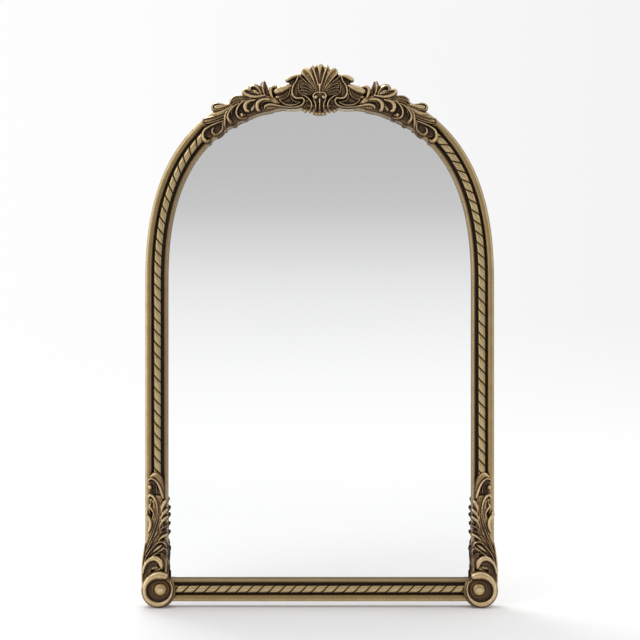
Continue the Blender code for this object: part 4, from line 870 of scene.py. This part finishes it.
LEAF_STROKES = [
    ("flat", [(153, 482), (154, 492)], (4.6, 4.6), (0.8,)),
    ("flat", [(157.6, 500), (158, 515), (156.4, 527), (152.4, 540), (149.5, 552), (151, 562)], (5, 6.4, 7,
     7, 6.5, 7), (6.2, 6.4, 6.2, 5.4, 3.6, 1.5)),
    ("flat", [(163, 543), (164, 555), (163.5, 566)], (3.6, 4, 3.8), (3.4,)),
    ("round", [(163, 497), (162.2, 490.4), (160.6, 484.4), (158.4, 479), (155, 475.8), (151.4, 477.2)],
     (1.2, 2.2, 3.2, 3.9, 3.8, 2.4), (4.4, 4.8, 5.2, 5.6, 5.6, 5)),
    ("round", [(148.2, 481), (149.5, 479.1), (152, 478.5), (154.8, 479.8), (157.4, 482.6), (159.6, 486.8),
     (161, 490.8), (162.2, 495), (163, 498)], (0.9, 1.1, 1.1, 1.1, 1.2, 1.4, 1.7, 1.7, 1.1), (10, 10.9,
     10.9, 10.9, 10.9, 10.9, 10.9, 10.4, 9)),
    ("round", [(151.8, 490.6), (150.8, 488.8), (150.2, 487)], (1.4, 2.1, 2.5), (3.4, 8, 10.9)),
    ("ridge", [(156, 485.6), (156.7, 488.8), (157, 494)], (0.9, 1.3, 1.1), (3.4, 5, 5)),
    ("flat", [(152.4, 500), (154.6, 507), (155.4, 514)], (3, 3.4, 3), (3.8, 4.6, 4.6)),
    ("round", [(148.4, 497.4), (149.6, 495.4), (152.2, 495.6), (154.6, 498.4), (156.2, 502.4),
     (157.3, 507.4), (157.5, 513.4)], (1.3, 1.8, 1.9, 1.7, 1.5, 1.2, 0.9), (8.6, 9.8, 10.4, 10.2, 9.8, 9,
     8)),
    ("ridge", [(151.6, 499.4), (153.2, 503), (154.4, 508)], (1, 1.4, 1), (5.4, 6.4, 6)),
    ("round", [(150.6, 503.8), (149.8, 506.2), (151.4, 508.8), (153.3, 512), (154.2, 516.6)], (1.1, 1.7,
     1.5, 1.2, 0.9), (9, 10.2, 9.8, 9, 8)),
    ("round", [(147, 512), (146.6, 514.8), (148.6, 517.6), (150.3, 521), (150.6, 525), (149.9, 528.6),
     (148.4, 532)], (1.5, 2.4, 2.2, 2.1, 2.1, 1.9, 1.2), (8.6, 10.2, 10.4, 10.2, 10, 9.6, 8)),
    ("ridge", [(160.2, 499), (160.6, 507), (160.1, 516), (158.8, 525), (156, 533), (152.8, 539.6),
     (149.6, 546), (146.8, 552)], (1.1, 1.6, 1.7, 1.7, 1.6, 1.5, 1.4, 1.1), (8, 8.8, 9.2, 9.2, 9, 8.8, 8.4,
     7.6)),
    ("ridge", [(158.6, 514), (156.8, 522), (154.6, 529), (152.6, 534.6), (150.2, 540.6), (147.8, 546.4),
     (146, 551.6), (145, 556)], (1.1, 1.5, 1.6, 1.6, 1.6, 1.6, 1.5, 1.1), (8, 8.8, 9.2, 9.4, 9.4, 9.2, 8.6,
     7.8)),
    ("ridge", [(155.6, 519), (154, 525), (152.2, 530), (150.6, 534)], (0.9, 1.3, 1.3, 1), (7.6, 8.2, 8.2,
     7.4)),
    ("ridge", [(162, 503), (162.2, 510), (161.8, 518), (160.6, 525), (158.6, 531)], (1, 1.4, 1.5, 1.5, 1),
     (7.6, 8.4, 8.6, 8.4, 7.6)),
    ("ridge", [(166, 526.2), (163.6, 527.2), (160.4, 529.2), (157.2, 532.8), (154.4, 536.8), (151.6, 541.6),
     (149, 546.8), (146.8, 552)], (2.5, 2.5, 2.1, 1.8, 1.7, 1.6, 1.4, 1.1), (8, 9.8, 10, 9.8, 9.4, 9, 8.4,
     7.6), TIP_BASE),
    ("ridge", [(165.4, 531), (162.4, 532.4), (159.4, 535.2), (156.4, 539)], (1.4, 1.7, 1.5, 1), (7, 8, 7.6,
     6.8), TIP_BASE),
    ("flat", [(163.8, 502), (164, 512), (164, 522), (164, 532)], (2.1, 2.3, 2.3, 2.4), (1.4,)),
    ("round", [(160.8, 514), (161.8, 509), (163.2, 504.8), (164.8, 502)], (1.2, 2, 2.6, 2.5), (7, 8, 9.4,
     9.6)),
    ("ridge", [(164.8, 500.8), (165, 503.8), (164.6, 506.6), (163.4, 509.6)], (1.1, 1.5, 1.5, 1.1), (3, 3.4,
     5, 6)),
    ("round", [(166.2, 510.4), (164.8, 512), (162.8, 514.4), (161.2, 517.4), (160.4, 521)], (2.4, 2.7, 2.2,
     1.5, 0.9), (8, 9.6, 9.4, 8.8, 8), TIP_BASE),
    ("round", [(166.2, 517.6), (164.4, 519.2), (162.4, 521.2), (160.6, 524.2), (159.6, 528)], (2.4, 2.7,
     2.2, 1.5, 0.9), (8, 9.6, 9.4, 8.8, 8), TIP_BASE),
    ("round", [(166.2, 535), (164, 535.8), (161.2, 537.6), (158.6, 540.4)], (2.3, 2.3, 1.8, 1.1), (8, 9.2,
     8.8, 7.6), TIP_BASE),
    ("ridge", [(166.2, 546.4), (165, 543.6), (162.6, 541.8), (159.6, 541.8), (156.4, 543.6), (153.2, 546.8),
     (150, 550.8), (147.2, 555), (145.2, 559.6), (144.2, 564)], (1.6, 2, 2.2, 2.3, 2.3, 2.2, 2, 1.8, 1.6,
     1.2), (8, 9.6, 10.2, 10.6, 10.6, 10.2, 9.8, 9.4, 9, 8.2)),
    ("round", [(161.4, 545.4), (157.6, 548.2), (153.6, 551.4)], (1.4, 2.3, 1.3), (6.4, 7, 5.6)),
    ("ridge", [(164.2, 547), (162.8, 548.2), (160.6, 550), (156.6, 553.2), (152.4, 556.2), (148.8, 560),
     (146.2, 564.6), (144.8, 569)], (1.6, 1.9, 1.9, 1.8, 1.8, 1.7, 1.6, 1.2), (9.8, 10, 9.8, 9.6, 9.6, 9.4,
     9, 8.2)),
    ("ridge", [(161, 551), (163.6, 548.6), (166, 548.8), (167.2, 551.4), (166.8, 555)], (1.2, 1.7, 2, 1.9,
     1.3), (8.8, 10, 10.2, 10, 8.6), TIP_BASE),
    ("ridge", [(158.6, 553.4), (161.6, 553), (164.2, 554.6), (166, 557), (166.8, 559.2)], (1.3, 1.7, 1.9,
     1.8, 1.2), (8.8, 9.8, 9.6, 6, 0), TIP_BASE),
    ("flat", [(146, 577), (147.2, 569), (150.6, 564.8)], (3.8, 4.4, 4), (0.9,)),
    ("flat", [(146, 548), (145.3, 556), (144.6, 566), (144.4, 574), (144.3, 584)], (1.6, 2.1, 2.4, 2.6,
     2.5), (3, 3, 1.6, 1, 1)),
    ("round", [(145.2, 543), (144.2, 550), (143.2, 557), (142.4, 565), (142.1, 574), (142.1, 583),
     (142.5, 590)], (0.9, 1.2, 1.4, 1.4, 1.3, 1.3, 1.1), (5, 7, 7.6, 6.6, 3, 0.5, 0), LAP_BASE),
    ("round", [(143, 573), (143.9, 568.2), (146.1, 563.3), (149.5, 559.8), (153.4, 558.3), (157.2, 559),
     (160.1, 561.8), (161.4, 565.4), (161.6, 568)], (1.2, 1.6, 2.1, 3, 3.5, 3.6, 3.3, 2.9, 1.8), (8.6, 9.6,
     10, 10.6, 10.9, 10.9, 10.2, 8.8, 7)),
    ("flat", [(163.4, 561), (163.4, 568)], (1.8, 1.9), (2.4,)),
    ("round", [(165.8, 568), (165.8, 572)], (2, 2.2), (3, 3), TIP_BASE),
    ("round", [(152.4, 568.8), (156.4, 568)], (1.9, 2.2), (2.6, 2.6)),
]

# The raised band that winds round the volute
FOOT_BAND = ("round", [(164.6, 576.4), (160.8, 575.6), (156.4, 575.6), (152, 577.2), (148.4, 580.4),
    (145.8, 584.8), (144.8, 590), (145.6, 595.6), (148.5, 600), (152.8, 603), (157.8, 604.2), (163, 603.4),
    (167.4, 600.6), (170.6, 596.4), (172.1, 591.2), (171.9, 586.4), (170, 582)], (4, 4.8, 4.9, 4.5, 3.7,
    2.9, 2.5, 2.5, 2.6, 2.9, 3, 2.8, 2.3, 1.8, 1.4, 1.2, 0.9), (9.6, 10.6, 10.9, 10.9, 10.6, 10.4, 10.2,
    10.2, 10.2, 10.2, 10, 9.6, 9, 8.6, 8, 7, 6))


def strokes(table):
    """The solids of a table of strokes."""
    return [stroke_mesh(*row) for row in table]


def other_side(pixel):
    """A pixel's mirror image across the photograph's middle line."""
    return 2 * PHOTO_CENTRE - pixel[0], pixel[1]


def both_hands(table):
    """A table of strokes on the left half with its mirror image; a stroke on the middle line is kept once."""
    rows = []
    for row in table:
        form, pixels, *rest = row
        rows.append(row)
        if any(abs(x - PHOTO_CENTRE) > 0.1 for x, _ in pixels):
            rows.append((form, [other_side(pixel) for pixel in pixels], *rest))
    return rows


def add_pair(piece, left, node, sharp_angle=180):
    """A left-hand ornament and its mirror image on the right."""
    for name, mesh in (("left", left), ("right", mirrored(left))):
        add_piece(piece + name, mesh, "gilt_ornament", node + name, sharp_angle)


# The block behind the shell: half its length, how far above the arch's outer edge it reaches, and its heights
CREST_BLOCK_HALF = 22 * MM
CREST_BLOCK_RISE = (0.3 * MM, 12.5 * MM)
CREST_BLOCK_HEIGHTS = (8.2 * MM, 27 * MM)


def crest_block():
    """The block that stands on the crown and carries the shell from behind."""
    (near, far), (back, front) = CREST_BLOCK_RISE, CREST_BLOCK_HEIGHTS
    across, heights = np.array([near, near, far, far]), np.array([back, front, front, back])
    rings = []
    for share in np.linspace(-1, 1, 15):
        x, z = arch_place(np.full(4, share * CREST_BLOCK_HALF), across)
        rings.append(np.stack([x, depth(heights), z], axis=1))
    return ring_solid(rings)


def make_shell():
    """The shell palmette, with the block behind it."""
    parts = strokes(both_hands(SHELL_STROKES)) + [crest_block()]
    for pixel, radius, relief in SHELL_BALLS:
        parts += [ball_mesh(place_of, radius, relief, SKIRT_BASE) for place_of in (pixel, other_side(pixel))]
    shell = cast(parts)
    carve_wash_and_shading(shell, both=True)
    add_piece("shell_palmette", shell, "gilt_ornament", "crest_shell", sharp_angle=180)


# Each ornament that has a left and a right: its strokes, its pieces, its nodes and how far the painted shade
# near the ground is lifted from what hangs low on it
PAIRED_ORNAMENTS = [
    (SCROLL_STROKES, "crest_volute_", "crest_scroll_", 1.1),
    (SPRAY_STROKES, "leaf_spray_", "acanthus_spray_", 0.75),
    (LEAF_STROKES, "climbing_leaf_", "corner_leaf_", 0),
]


def make_leaves():
    """The crest scrolls, the leaf sprays and the climbing leaves."""
    for table, piece, node, hanging in PAIRED_ORNAMENTS:
        left = cast(strokes(table))
        carve_wash_and_shading(left, hanging=hanging)
        add_pair(piece, left, node)


# The volute keeps clear of the glass's lower corner and of the bead below it
GLASS_CORNER = (168.3, 581.6)
# The volute's drum is moved outwards and is a little narrower than it is tall
FOOT_SHIFT = 2.0 * MM
FOOT_NARROWING = 0.972
# The drum's profile, as insets from its radius and heights, in millimetres
DRUM_RIM = [(0.6, 0), (0, 0.6), (0, 27), (0.8, 29.2), (2.6, 30.4), (7, 30.4), (10.4, 28)]
# How far a cutting tool runs past the frame's back or a strap's middle, and its top, above all of a volute
OVERRUN = 2 * MM
TOOL_TOP = 200 * MM


def volute_cuts():
    """What the left volute leaves free: the rail's back and side, and the glass."""
    back = depth(-OVERRUN)
    rail = block((-HALF_WIDTH - SEAT_GAP, 0), (back, depth(ORNAMENT_SEAT)), (GROUND_GAP - SEAT_GAP, TOOL_TOP))
    side, sill = place(*GLASS_CORNER)
    glass = block((side, 0), (back, depth(2 * FRONT)), (sill, TOOL_TOP))
    return rail, glass


def make_feet():
    """The volutes that the mirror stands on."""
    drum = [(FOOT_RADIUS - inset * MM, height * MM) for inset, height in DRUM_RIM] + [(0, 28 * MM)]
    body = lathe(drum, (-FOOT_X, BACK_Y, FOOT_Z), 96, way=-1)
    for vertex in body.vertices:
        vertex.co.x = -FOOT_X - FOOT_SHIFT + (vertex.co.x + FOOT_X) * FOOT_NARROWING
    left = cast([body, stroke_mesh(*FOOT_BAND)], smoothing=4)
    for tool in volute_cuts():
        left = carved_out(left, tool)
    for vertex in left.vertices:
        vertex.co.z = max(vertex.co.z, 0)
    carve_wash_and_shading(left, ground=27.2 * MM, reach=7 * MM)
    add_pair("foot_volute_", left, "foot_scroll_", sharp_angle=50)


# The boss sits off the volute's middle, towards the glass and up
BOSS_IN = 1.4 * MM
BOSS_UP = 2.0 * MM
# Its radii and heights, in millimetres, and how dark it is: painted shade with wash down the dome's flanks
# and in the groove round it
BOSS_ROWS = [(15, 28.2, 0.9), (15.2, 28.7, 0.8), (15, 29.6, 0.66), (14.2, 30.2, 0.55), (13, 30.1, 0.55),
             (12.2, 29.6, 0.7), (11.6, 30.2, 0.66), (11.3, 31.4, 0.55), (10.4, 33, 0.4), (8.6, 34.8, 0.24),
             (6, 36.1, 0.1), (3, 36.7, 0), (0, 36.8, 0)]


def make_bosses():
    """The domed buttons in the middle of the volutes."""
    profile = [(radius * MM, height * MM) for radius, height, _ in BOSS_ROWS]
    for name, side in SIDES.items():
        centre = (side * (FOOT_X - BOSS_IN), BACK_Y, FOOT_Z + BOSS_UP)
        boss = lathe(profile, centre, 64, way=-1, wash_and_shading=[value for _, _, value in BOSS_ROWS])
        add_piece("volute_boss_" + name, boss, "gilt_ornament", "scroll_boss_" + name, sharp_angle=60)


# The back

# The D-rings' straight legs and the radius of their corners
RING_LEG = 6 * MM
RING_CORNER = 2 * MM


def ring_path(half):
    """The wire's middle line, its loop and then its bar's corners, as X and Z from the bar's middle."""
    loop, corner = np.linspace(0, math.pi, 33), np.linspace(0, math.pi / 2, 9)
    path = [(-half * math.cos(turn), -RING_LEG - half * math.sin(turn)) for turn in loop]
    inner = half - RING_CORNER
    path += [(inner + RING_CORNER * math.cos(turn), RING_CORNER * (math.sin(turn) - 1)) for turn in corner]
    path += [(-inner - RING_CORNER * math.sin(turn), RING_CORNER * (math.cos(turn) - 1)) for turn in corner]
    return np.array(path)


def make_rings():
    """The D-rings as smooth round wire, about the pivots that the CAD has."""
    for name in SIDES:
        low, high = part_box("hanger_ring_" + name)
        x, y, _ = (low + high) / 2
        wire = (high.y - low.y) / 2
        top = high.z - wire
        path = ring_path((high.x - low.x) / 2 - wire)
        run = unit_rows(np.roll(path, -1, axis=0) - np.roll(path, 1, axis=0))
        rings = []
        for point, heading in zip(path, run):
            ring = []
            for turn in np.linspace(0, 2 * math.pi, 16, endpoint=False):
                reach = wire * math.cos(turn)
                ring.append((x + point[0] - heading[1] * reach, y + wire * math.sin(turn),
                             top + point[1] + heading[0] * reach))
            rings.append(ring)
        ring_mesh = ring_solid(rings, closed=True)
        add_piece("dee_ring_" + name, ring_mesh, "steel", "hanger_ring_" + name, body="ring_" + name)


# The straps' thickness, the radii of their top corners and screw holes, and their flat part: where it ends,
# over the ring's pivot, and in how many stations
STRAP_THICKNESS = 1 * MM
STRAP_CORNER = 4 * MM
HOLE_RADIUS = 1.9 * MM
FLAT_END = 1.5 * MM
FLAT_STATIONS = 12


def strap_mesh(low, high):
    """A strip that runs down and folds round the ring's wire, with rounded top corners."""
    x, half = (low.x + high.x) / 2, (high.x - low.x) / 2
    outer = (high.y - low.y) / 2
    pivot_y, pivot_z = high.y - outer, low.z + outer
    middle = outer - STRAP_THICKNESS / 2
    front = low.y + STRAP_THICKNESS / 2
    path = [(front, z) for z in np.linspace(high.z, pivot_z + FLAT_END, FLAT_STATIONS)]
    for turn in np.radians(np.linspace(0, 330, 34)):
        path.append((pivot_y - middle * math.cos(turn), pivot_z - middle * math.sin(turn)))
    path = np.array(path)
    rings = []
    for index, (point, heading) in enumerate(zip(path, unit_rows(np.gradient(path, axis=0)))):
        to_corner = STRAP_CORNER - (high.z - point[1])
        width = half
        if index < FLAT_STATIONS and to_corner > 0:
            width = half - STRAP_CORNER + math.sqrt(max(STRAP_CORNER ** 2 - to_corner ** 2, 0))
        side = np.array([-heading[1], heading[0]]) * STRAP_THICKNESS / 2
        ring = []
        for across, offset in ((-width, 1), (width, 1), (width, -1), (-width, -1)):
            ring.append((x + across, point[0] + side[0] * offset, point[1] + side[1] * offset))
        rings.append(ring)
    return ring_solid(rings)


def make_straps():
    """The straps, with their screw holes."""
    for name in SIDES:
        low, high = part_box("hanger_strap_" + name)
        strap = strap_mesh(low, high)
        for level in ("lower", "upper"):
            screw_low, screw_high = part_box(f"hanger_screw_{level}_{name}")
            x, _, z = (screw_low + screw_high) / 2
            centre = (x, low.y + STRAP_THICKNESS / 2, z)
            strap = carved_out(strap, lathe([(HOLE_RADIUS, -OVERRUN), (HOLE_RADIUS, OVERRUN)], centre, 24))
        add_piece("strap_" + name, strap, "steel", "hanger_strap_" + name, sharp_angle=30)


# A screw's profile: its point, as shares of the shank's radius and heights over the tip, and its head, as
# shares of the head's radius and heights over the seat, all heights in millimetres
SCREW_POINT = [(0, 0), (0.9, 1.6), (1, 1.9)]
SCREW_HEAD = [(0.96, 0), (1, 0.2), (1, 0.75), (0.93, 1.15), (0.72, 1.6), (0.4, 1.84)]
SCREW_HEAD_HEIGHT = 1.9 * MM
# The cross recess: half its slots' width, their half length as a share of the radius, and their depth
RECESS_HALF = 0.34 * MM
RECESS_REACH = 0.62
RECESS_DEPTH = 1 * MM


def screw_mesh(low, high):
    """A pan-head screw with a cross recess; its shank reaches as far in as the CAD's."""
    x, _, z = (low + high) / 2
    radius = (high.x - low.x) / 2
    seat = high.y - SCREW_HEAD_HEIGHT
    shank = radius / 2
    profile = [(shank * share, low.y + height * MM) for share, height in SCREW_POINT] + [(shank, seat)]
    profile += [(radius * share, seat + height * MM) for share, height in SCREW_HEAD] + [(0, high.y)]
    screw = lathe(profile, (x, 0, z), 36)
    reach = radius * RECESS_REACH
    depths = (high.y - RECESS_DEPTH, high.y + RECESS_DEPTH)
    for wide, tall in ((RECESS_HALF, reach), (reach, RECESS_HALF)):
        screw = carved_out(screw, block((x - wide, x + wide), depths, (z - tall, z + tall)))
    return screw


def make_screws():
    """Every screw of the back."""
    for node in sorted(NODES):
        if "screw" in node:
            name = node.replace("screw", "pan_screw")
            add_piece(name, screw_mesh(*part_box(node)), "steel", node, sharp_angle=30)


# A bumper's profile, as shares of its radius and of its height
BUMPER_ROWS = [(0.97, 0), (1, 0.06), (1, 0.45), (0.97, 0.66), (0.88, 0.85), (0.72, 0.96), (0.5, 1),
               (0.3, 0.985), (0.16, 0.93), (0, 0.91)]


def make_bumpers():
    """Soft round wall bumpers."""
    for node in sorted(NODES):
        if not node.startswith("bumper"):
            continue
        low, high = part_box(node)
        radius, tall = (high.x - low.x) / 2, high.y - low.y
        x, _, z = (low + high) / 2
        bumper = lathe([(radius * share, tall * rise) for share, rise in BUMPER_ROWS], (x, low.y, z), 48)
        add_piece(node.replace("bumper", "wall_bumper"), bumper, "rubber", node)


def dress_nodes():
    """Finishes for the CAD nodes that stay: the glass, the board and the dowels."""
    looks = {"mirror_glass": mirror_look(), "backing_board": board_look()}
    wood = wood_look()
    for name, node in NODES.items():
        if "dowel" in name:
            looks[name] = wood
        if name in looks:
            for slot in node.material_slots:
                slot.material = looks[name]


# The studio

WHITE = (1, 1, 1, 1)
# Half the floor's side, and how far it is seen; beyond that the backdrop shows
FLOOR_HALF = 14
FLOOR_REACH = 3.0


def make_floor():
    """A pale floor: near the mirror it keeps the shadow, and further off it fades into the backdrop."""
    mesh = bpy.data.meshes.new("floor")
    corners = [(x * FLOOR_HALF, y * FLOOR_HALF, 0) for x, y in ((-1, -1), (1, -1), (1, 1), (-1, 1))]
    mesh.from_pydata(corners, [], [(0, 1, 2, 3)])
    look = bpy.data.materials.new("floor")
    look.use_nodes = True
    tree = look.node_tree
    tree.nodes.clear()
    rays = add_node(tree, "ShaderNodeLightPath").outputs
    seen = math_node(tree, "MAXIMUM", rays["Is Camera Ray"], rays["Is Glossy Ray"])
    seen = math_node(tree, "MAXIMUM", seen, rays["Is Transmission Ray"])
    spot = add_node(tree, "ShaderNodeTexCoord").outputs["Object"]
    reach = add_node(tree, "ShaderNodeVectorMath", {0: spot}, operation="LENGTH").outputs["Value"]
    distance = math_node(tree, "DIVIDE", reach, FLOOR_REACH)
    paling = ramp_node(tree, distance, [(0.06, 0), (0.25, 0.3), (0.5, 0.8)])
    gleam = math_node(tree, "MULTIPLY", rays["Is Glossy Ray"], 0.4)
    shown = math_node(tree, "MAXIMUM", math_node(tree, "MULTIPLY", seen, paling), gleam)
    gone = math_node(tree, "MULTIPLY", seen, ramp_node(tree, distance, [(0.3, 0), (0.8, 1)]))
    diffuse = add_node(tree, "ShaderNodeBsdfDiffuse", {"Color": (0.8, 0.8, 0.8, 1)})
    glow = add_node(tree, "ShaderNodeEmission", {"Color": WHITE, "Strength": 1})
    pale = add_node(tree, "ShaderNodeMixShader", {0: shown, 1: diffuse.outputs[0], 2: glow.outputs[0]})
    clear = add_node(tree, "ShaderNodeBsdfTransparent")
    fade = add_node(tree, "ShaderNodeMixShader", {0: gone, 1: pale.outputs[0], 2: clear.outputs[0]})
    add_node(tree, "ShaderNodeOutputMaterial", {"Surface": fade.outputs[0]})
    mesh.materials.append(look)
    new_object("floor", mesh)


# What a ray meets, as stops along a share that goes from 0 to 1 across the directions, each with its grey.
# In front of the glass, from below to above, as the photograph's glass shows it
AHEAD = [(0.4546, 1.04), (0.4801, 0.985), (0.4929, 0.93), (0.5057, 0.87), (0.5142, 0.815), (0.5312, 0.67),
         (0.5397, 0.588), (0.5524, 0.542), (0.569, 0.523)]
# The room's walls from left to right, and from its floor to its ceiling
WALLS = [(0, 2), (0.2, 0.8), (0.35, 0.22), (0.65, 0.2), (0.85, 0.55), (1, 1.1)]
CEILING = [(0, 0.4), (0.3, 0.1), (0.66, 0.12), (0.8, 0.7), (1, 1.2)]
# The backdrop behind the mirror, from left to right
BACKDROP = [(0.06, 0.99), (0.23, 0.982), (0.5, 0.947), (0.77, 0.92), (0.94, 0.897)]


def make_world():
    """The studio: the camera sees a backdrop, reflections show a room, and plain white lights the rest."""
    world = bpy.data.worlds.new("studio")
    world.use_nodes = True
    bpy.context.scene.world = world
    tree = world.node_tree
    tree.nodes.clear()
    direction = add_node(tree, "ShaderNodeTexCoord").outputs["Generated"]
    axes = add_node(tree, "ShaderNodeSeparateXYZ", {0: direction}).outputs
    aside, backward, height = [math_node(tree, "MULTIPLY_ADD", axes[name], 0.5, 0.5) for name in "XYZ"]
    room = mix_node(tree, 1, ramp_node(tree, aside, WALLS), ramp_node(tree, height, CEILING), "LIGHTEN")
    off_axis = ramp_node(tree, backward, [(0.02, 0), (0.08, 1)])
    reflected = mix_node(tree, off_axis, ramp_node(tree, height, AHEAD), room)
    across = math_node(tree, "MULTIPLY_ADD", axes["X"], 2, 0.5, clamp=True)
    low = ramp_node(tree, height, [(0.455, 1), (0.5, 0)])
    background = mix_node(tree, low, ramp_node(tree, across, BACKDROP), WHITE)
    rays = add_node(tree, "ShaderNodeLightPath").outputs
    shone = mix_node(tree, rays["Is Glossy Ray"], WHITE, reflected)
    choice = mix_node(tree, rays["Is Camera Ray"], shone, background)
    glow = add_node(tree, "ShaderNodeBackground", {"Color": choice, "Strength": 1})
    add_node(tree, "ShaderNodeOutputWorld", {"Surface": glow.outputs[0]})


# The lamps: name, place, what it looks at, side and power
LAMPS = [
    ("key", (-1.6, -1.6, 2.2), (0, 0, 0.5), 1.2, 10),
    ("fill", (1.9, -1.2, 1.6), (0, 0, 0.5), 1.4, 5),
    ("back", (-0.7, 1.3, 2.2), (0.1, 0, 0), 1.2, 26),
]


def make_lamps():
    """Square soft lamps."""
    for name, location, target, size, power in LAMPS:
        data = bpy.data.lights.new(name, "AREA")
        data.shape = "SQUARE"
        data.size = size
        data.energy = power
        lamp = new_object(name, data)
        lamp.location = location
        lamp.rotation_mode = "QUATERNION"
        direction = Vector(target) - Vector(location)
        lamp.rotation_quaternion = direction.to_track_quat("-Z", "Y")


def make_camera():
    """The photograph's camera, straight on."""
    data = bpy.data.cameras.new("camera")
    data.sensor_width = SENSOR_WIDTH
    data.lens = SENSOR_WIDTH * CAMERA_DISTANCE / (PIXEL * PHOTO_SIZE)
    camera = new_object("camera", data)
    x = (PHOTO_MIDDLE - PHOTO_CENTRE) * PIXEL
    camera.location = (x, depth(PICTURE_HEIGHT) - CAMERA_DISTANCE, CAMERA_HEIGHT)
    camera.rotation_euler = (math.pi / 2, 0, 0)
    bpy.context.scene.camera = camera


make_mouldings()
make_ropes()
make_shell()
make_leaves()
make_feet()
make_bosses()
make_rings()
make_straps()
make_screws()
make_bumpers()
dress_nodes()
make_floor()
make_world()
make_lamps()
make_camera()
bpy.context.scene.view_settings.view_transform = "Standard"
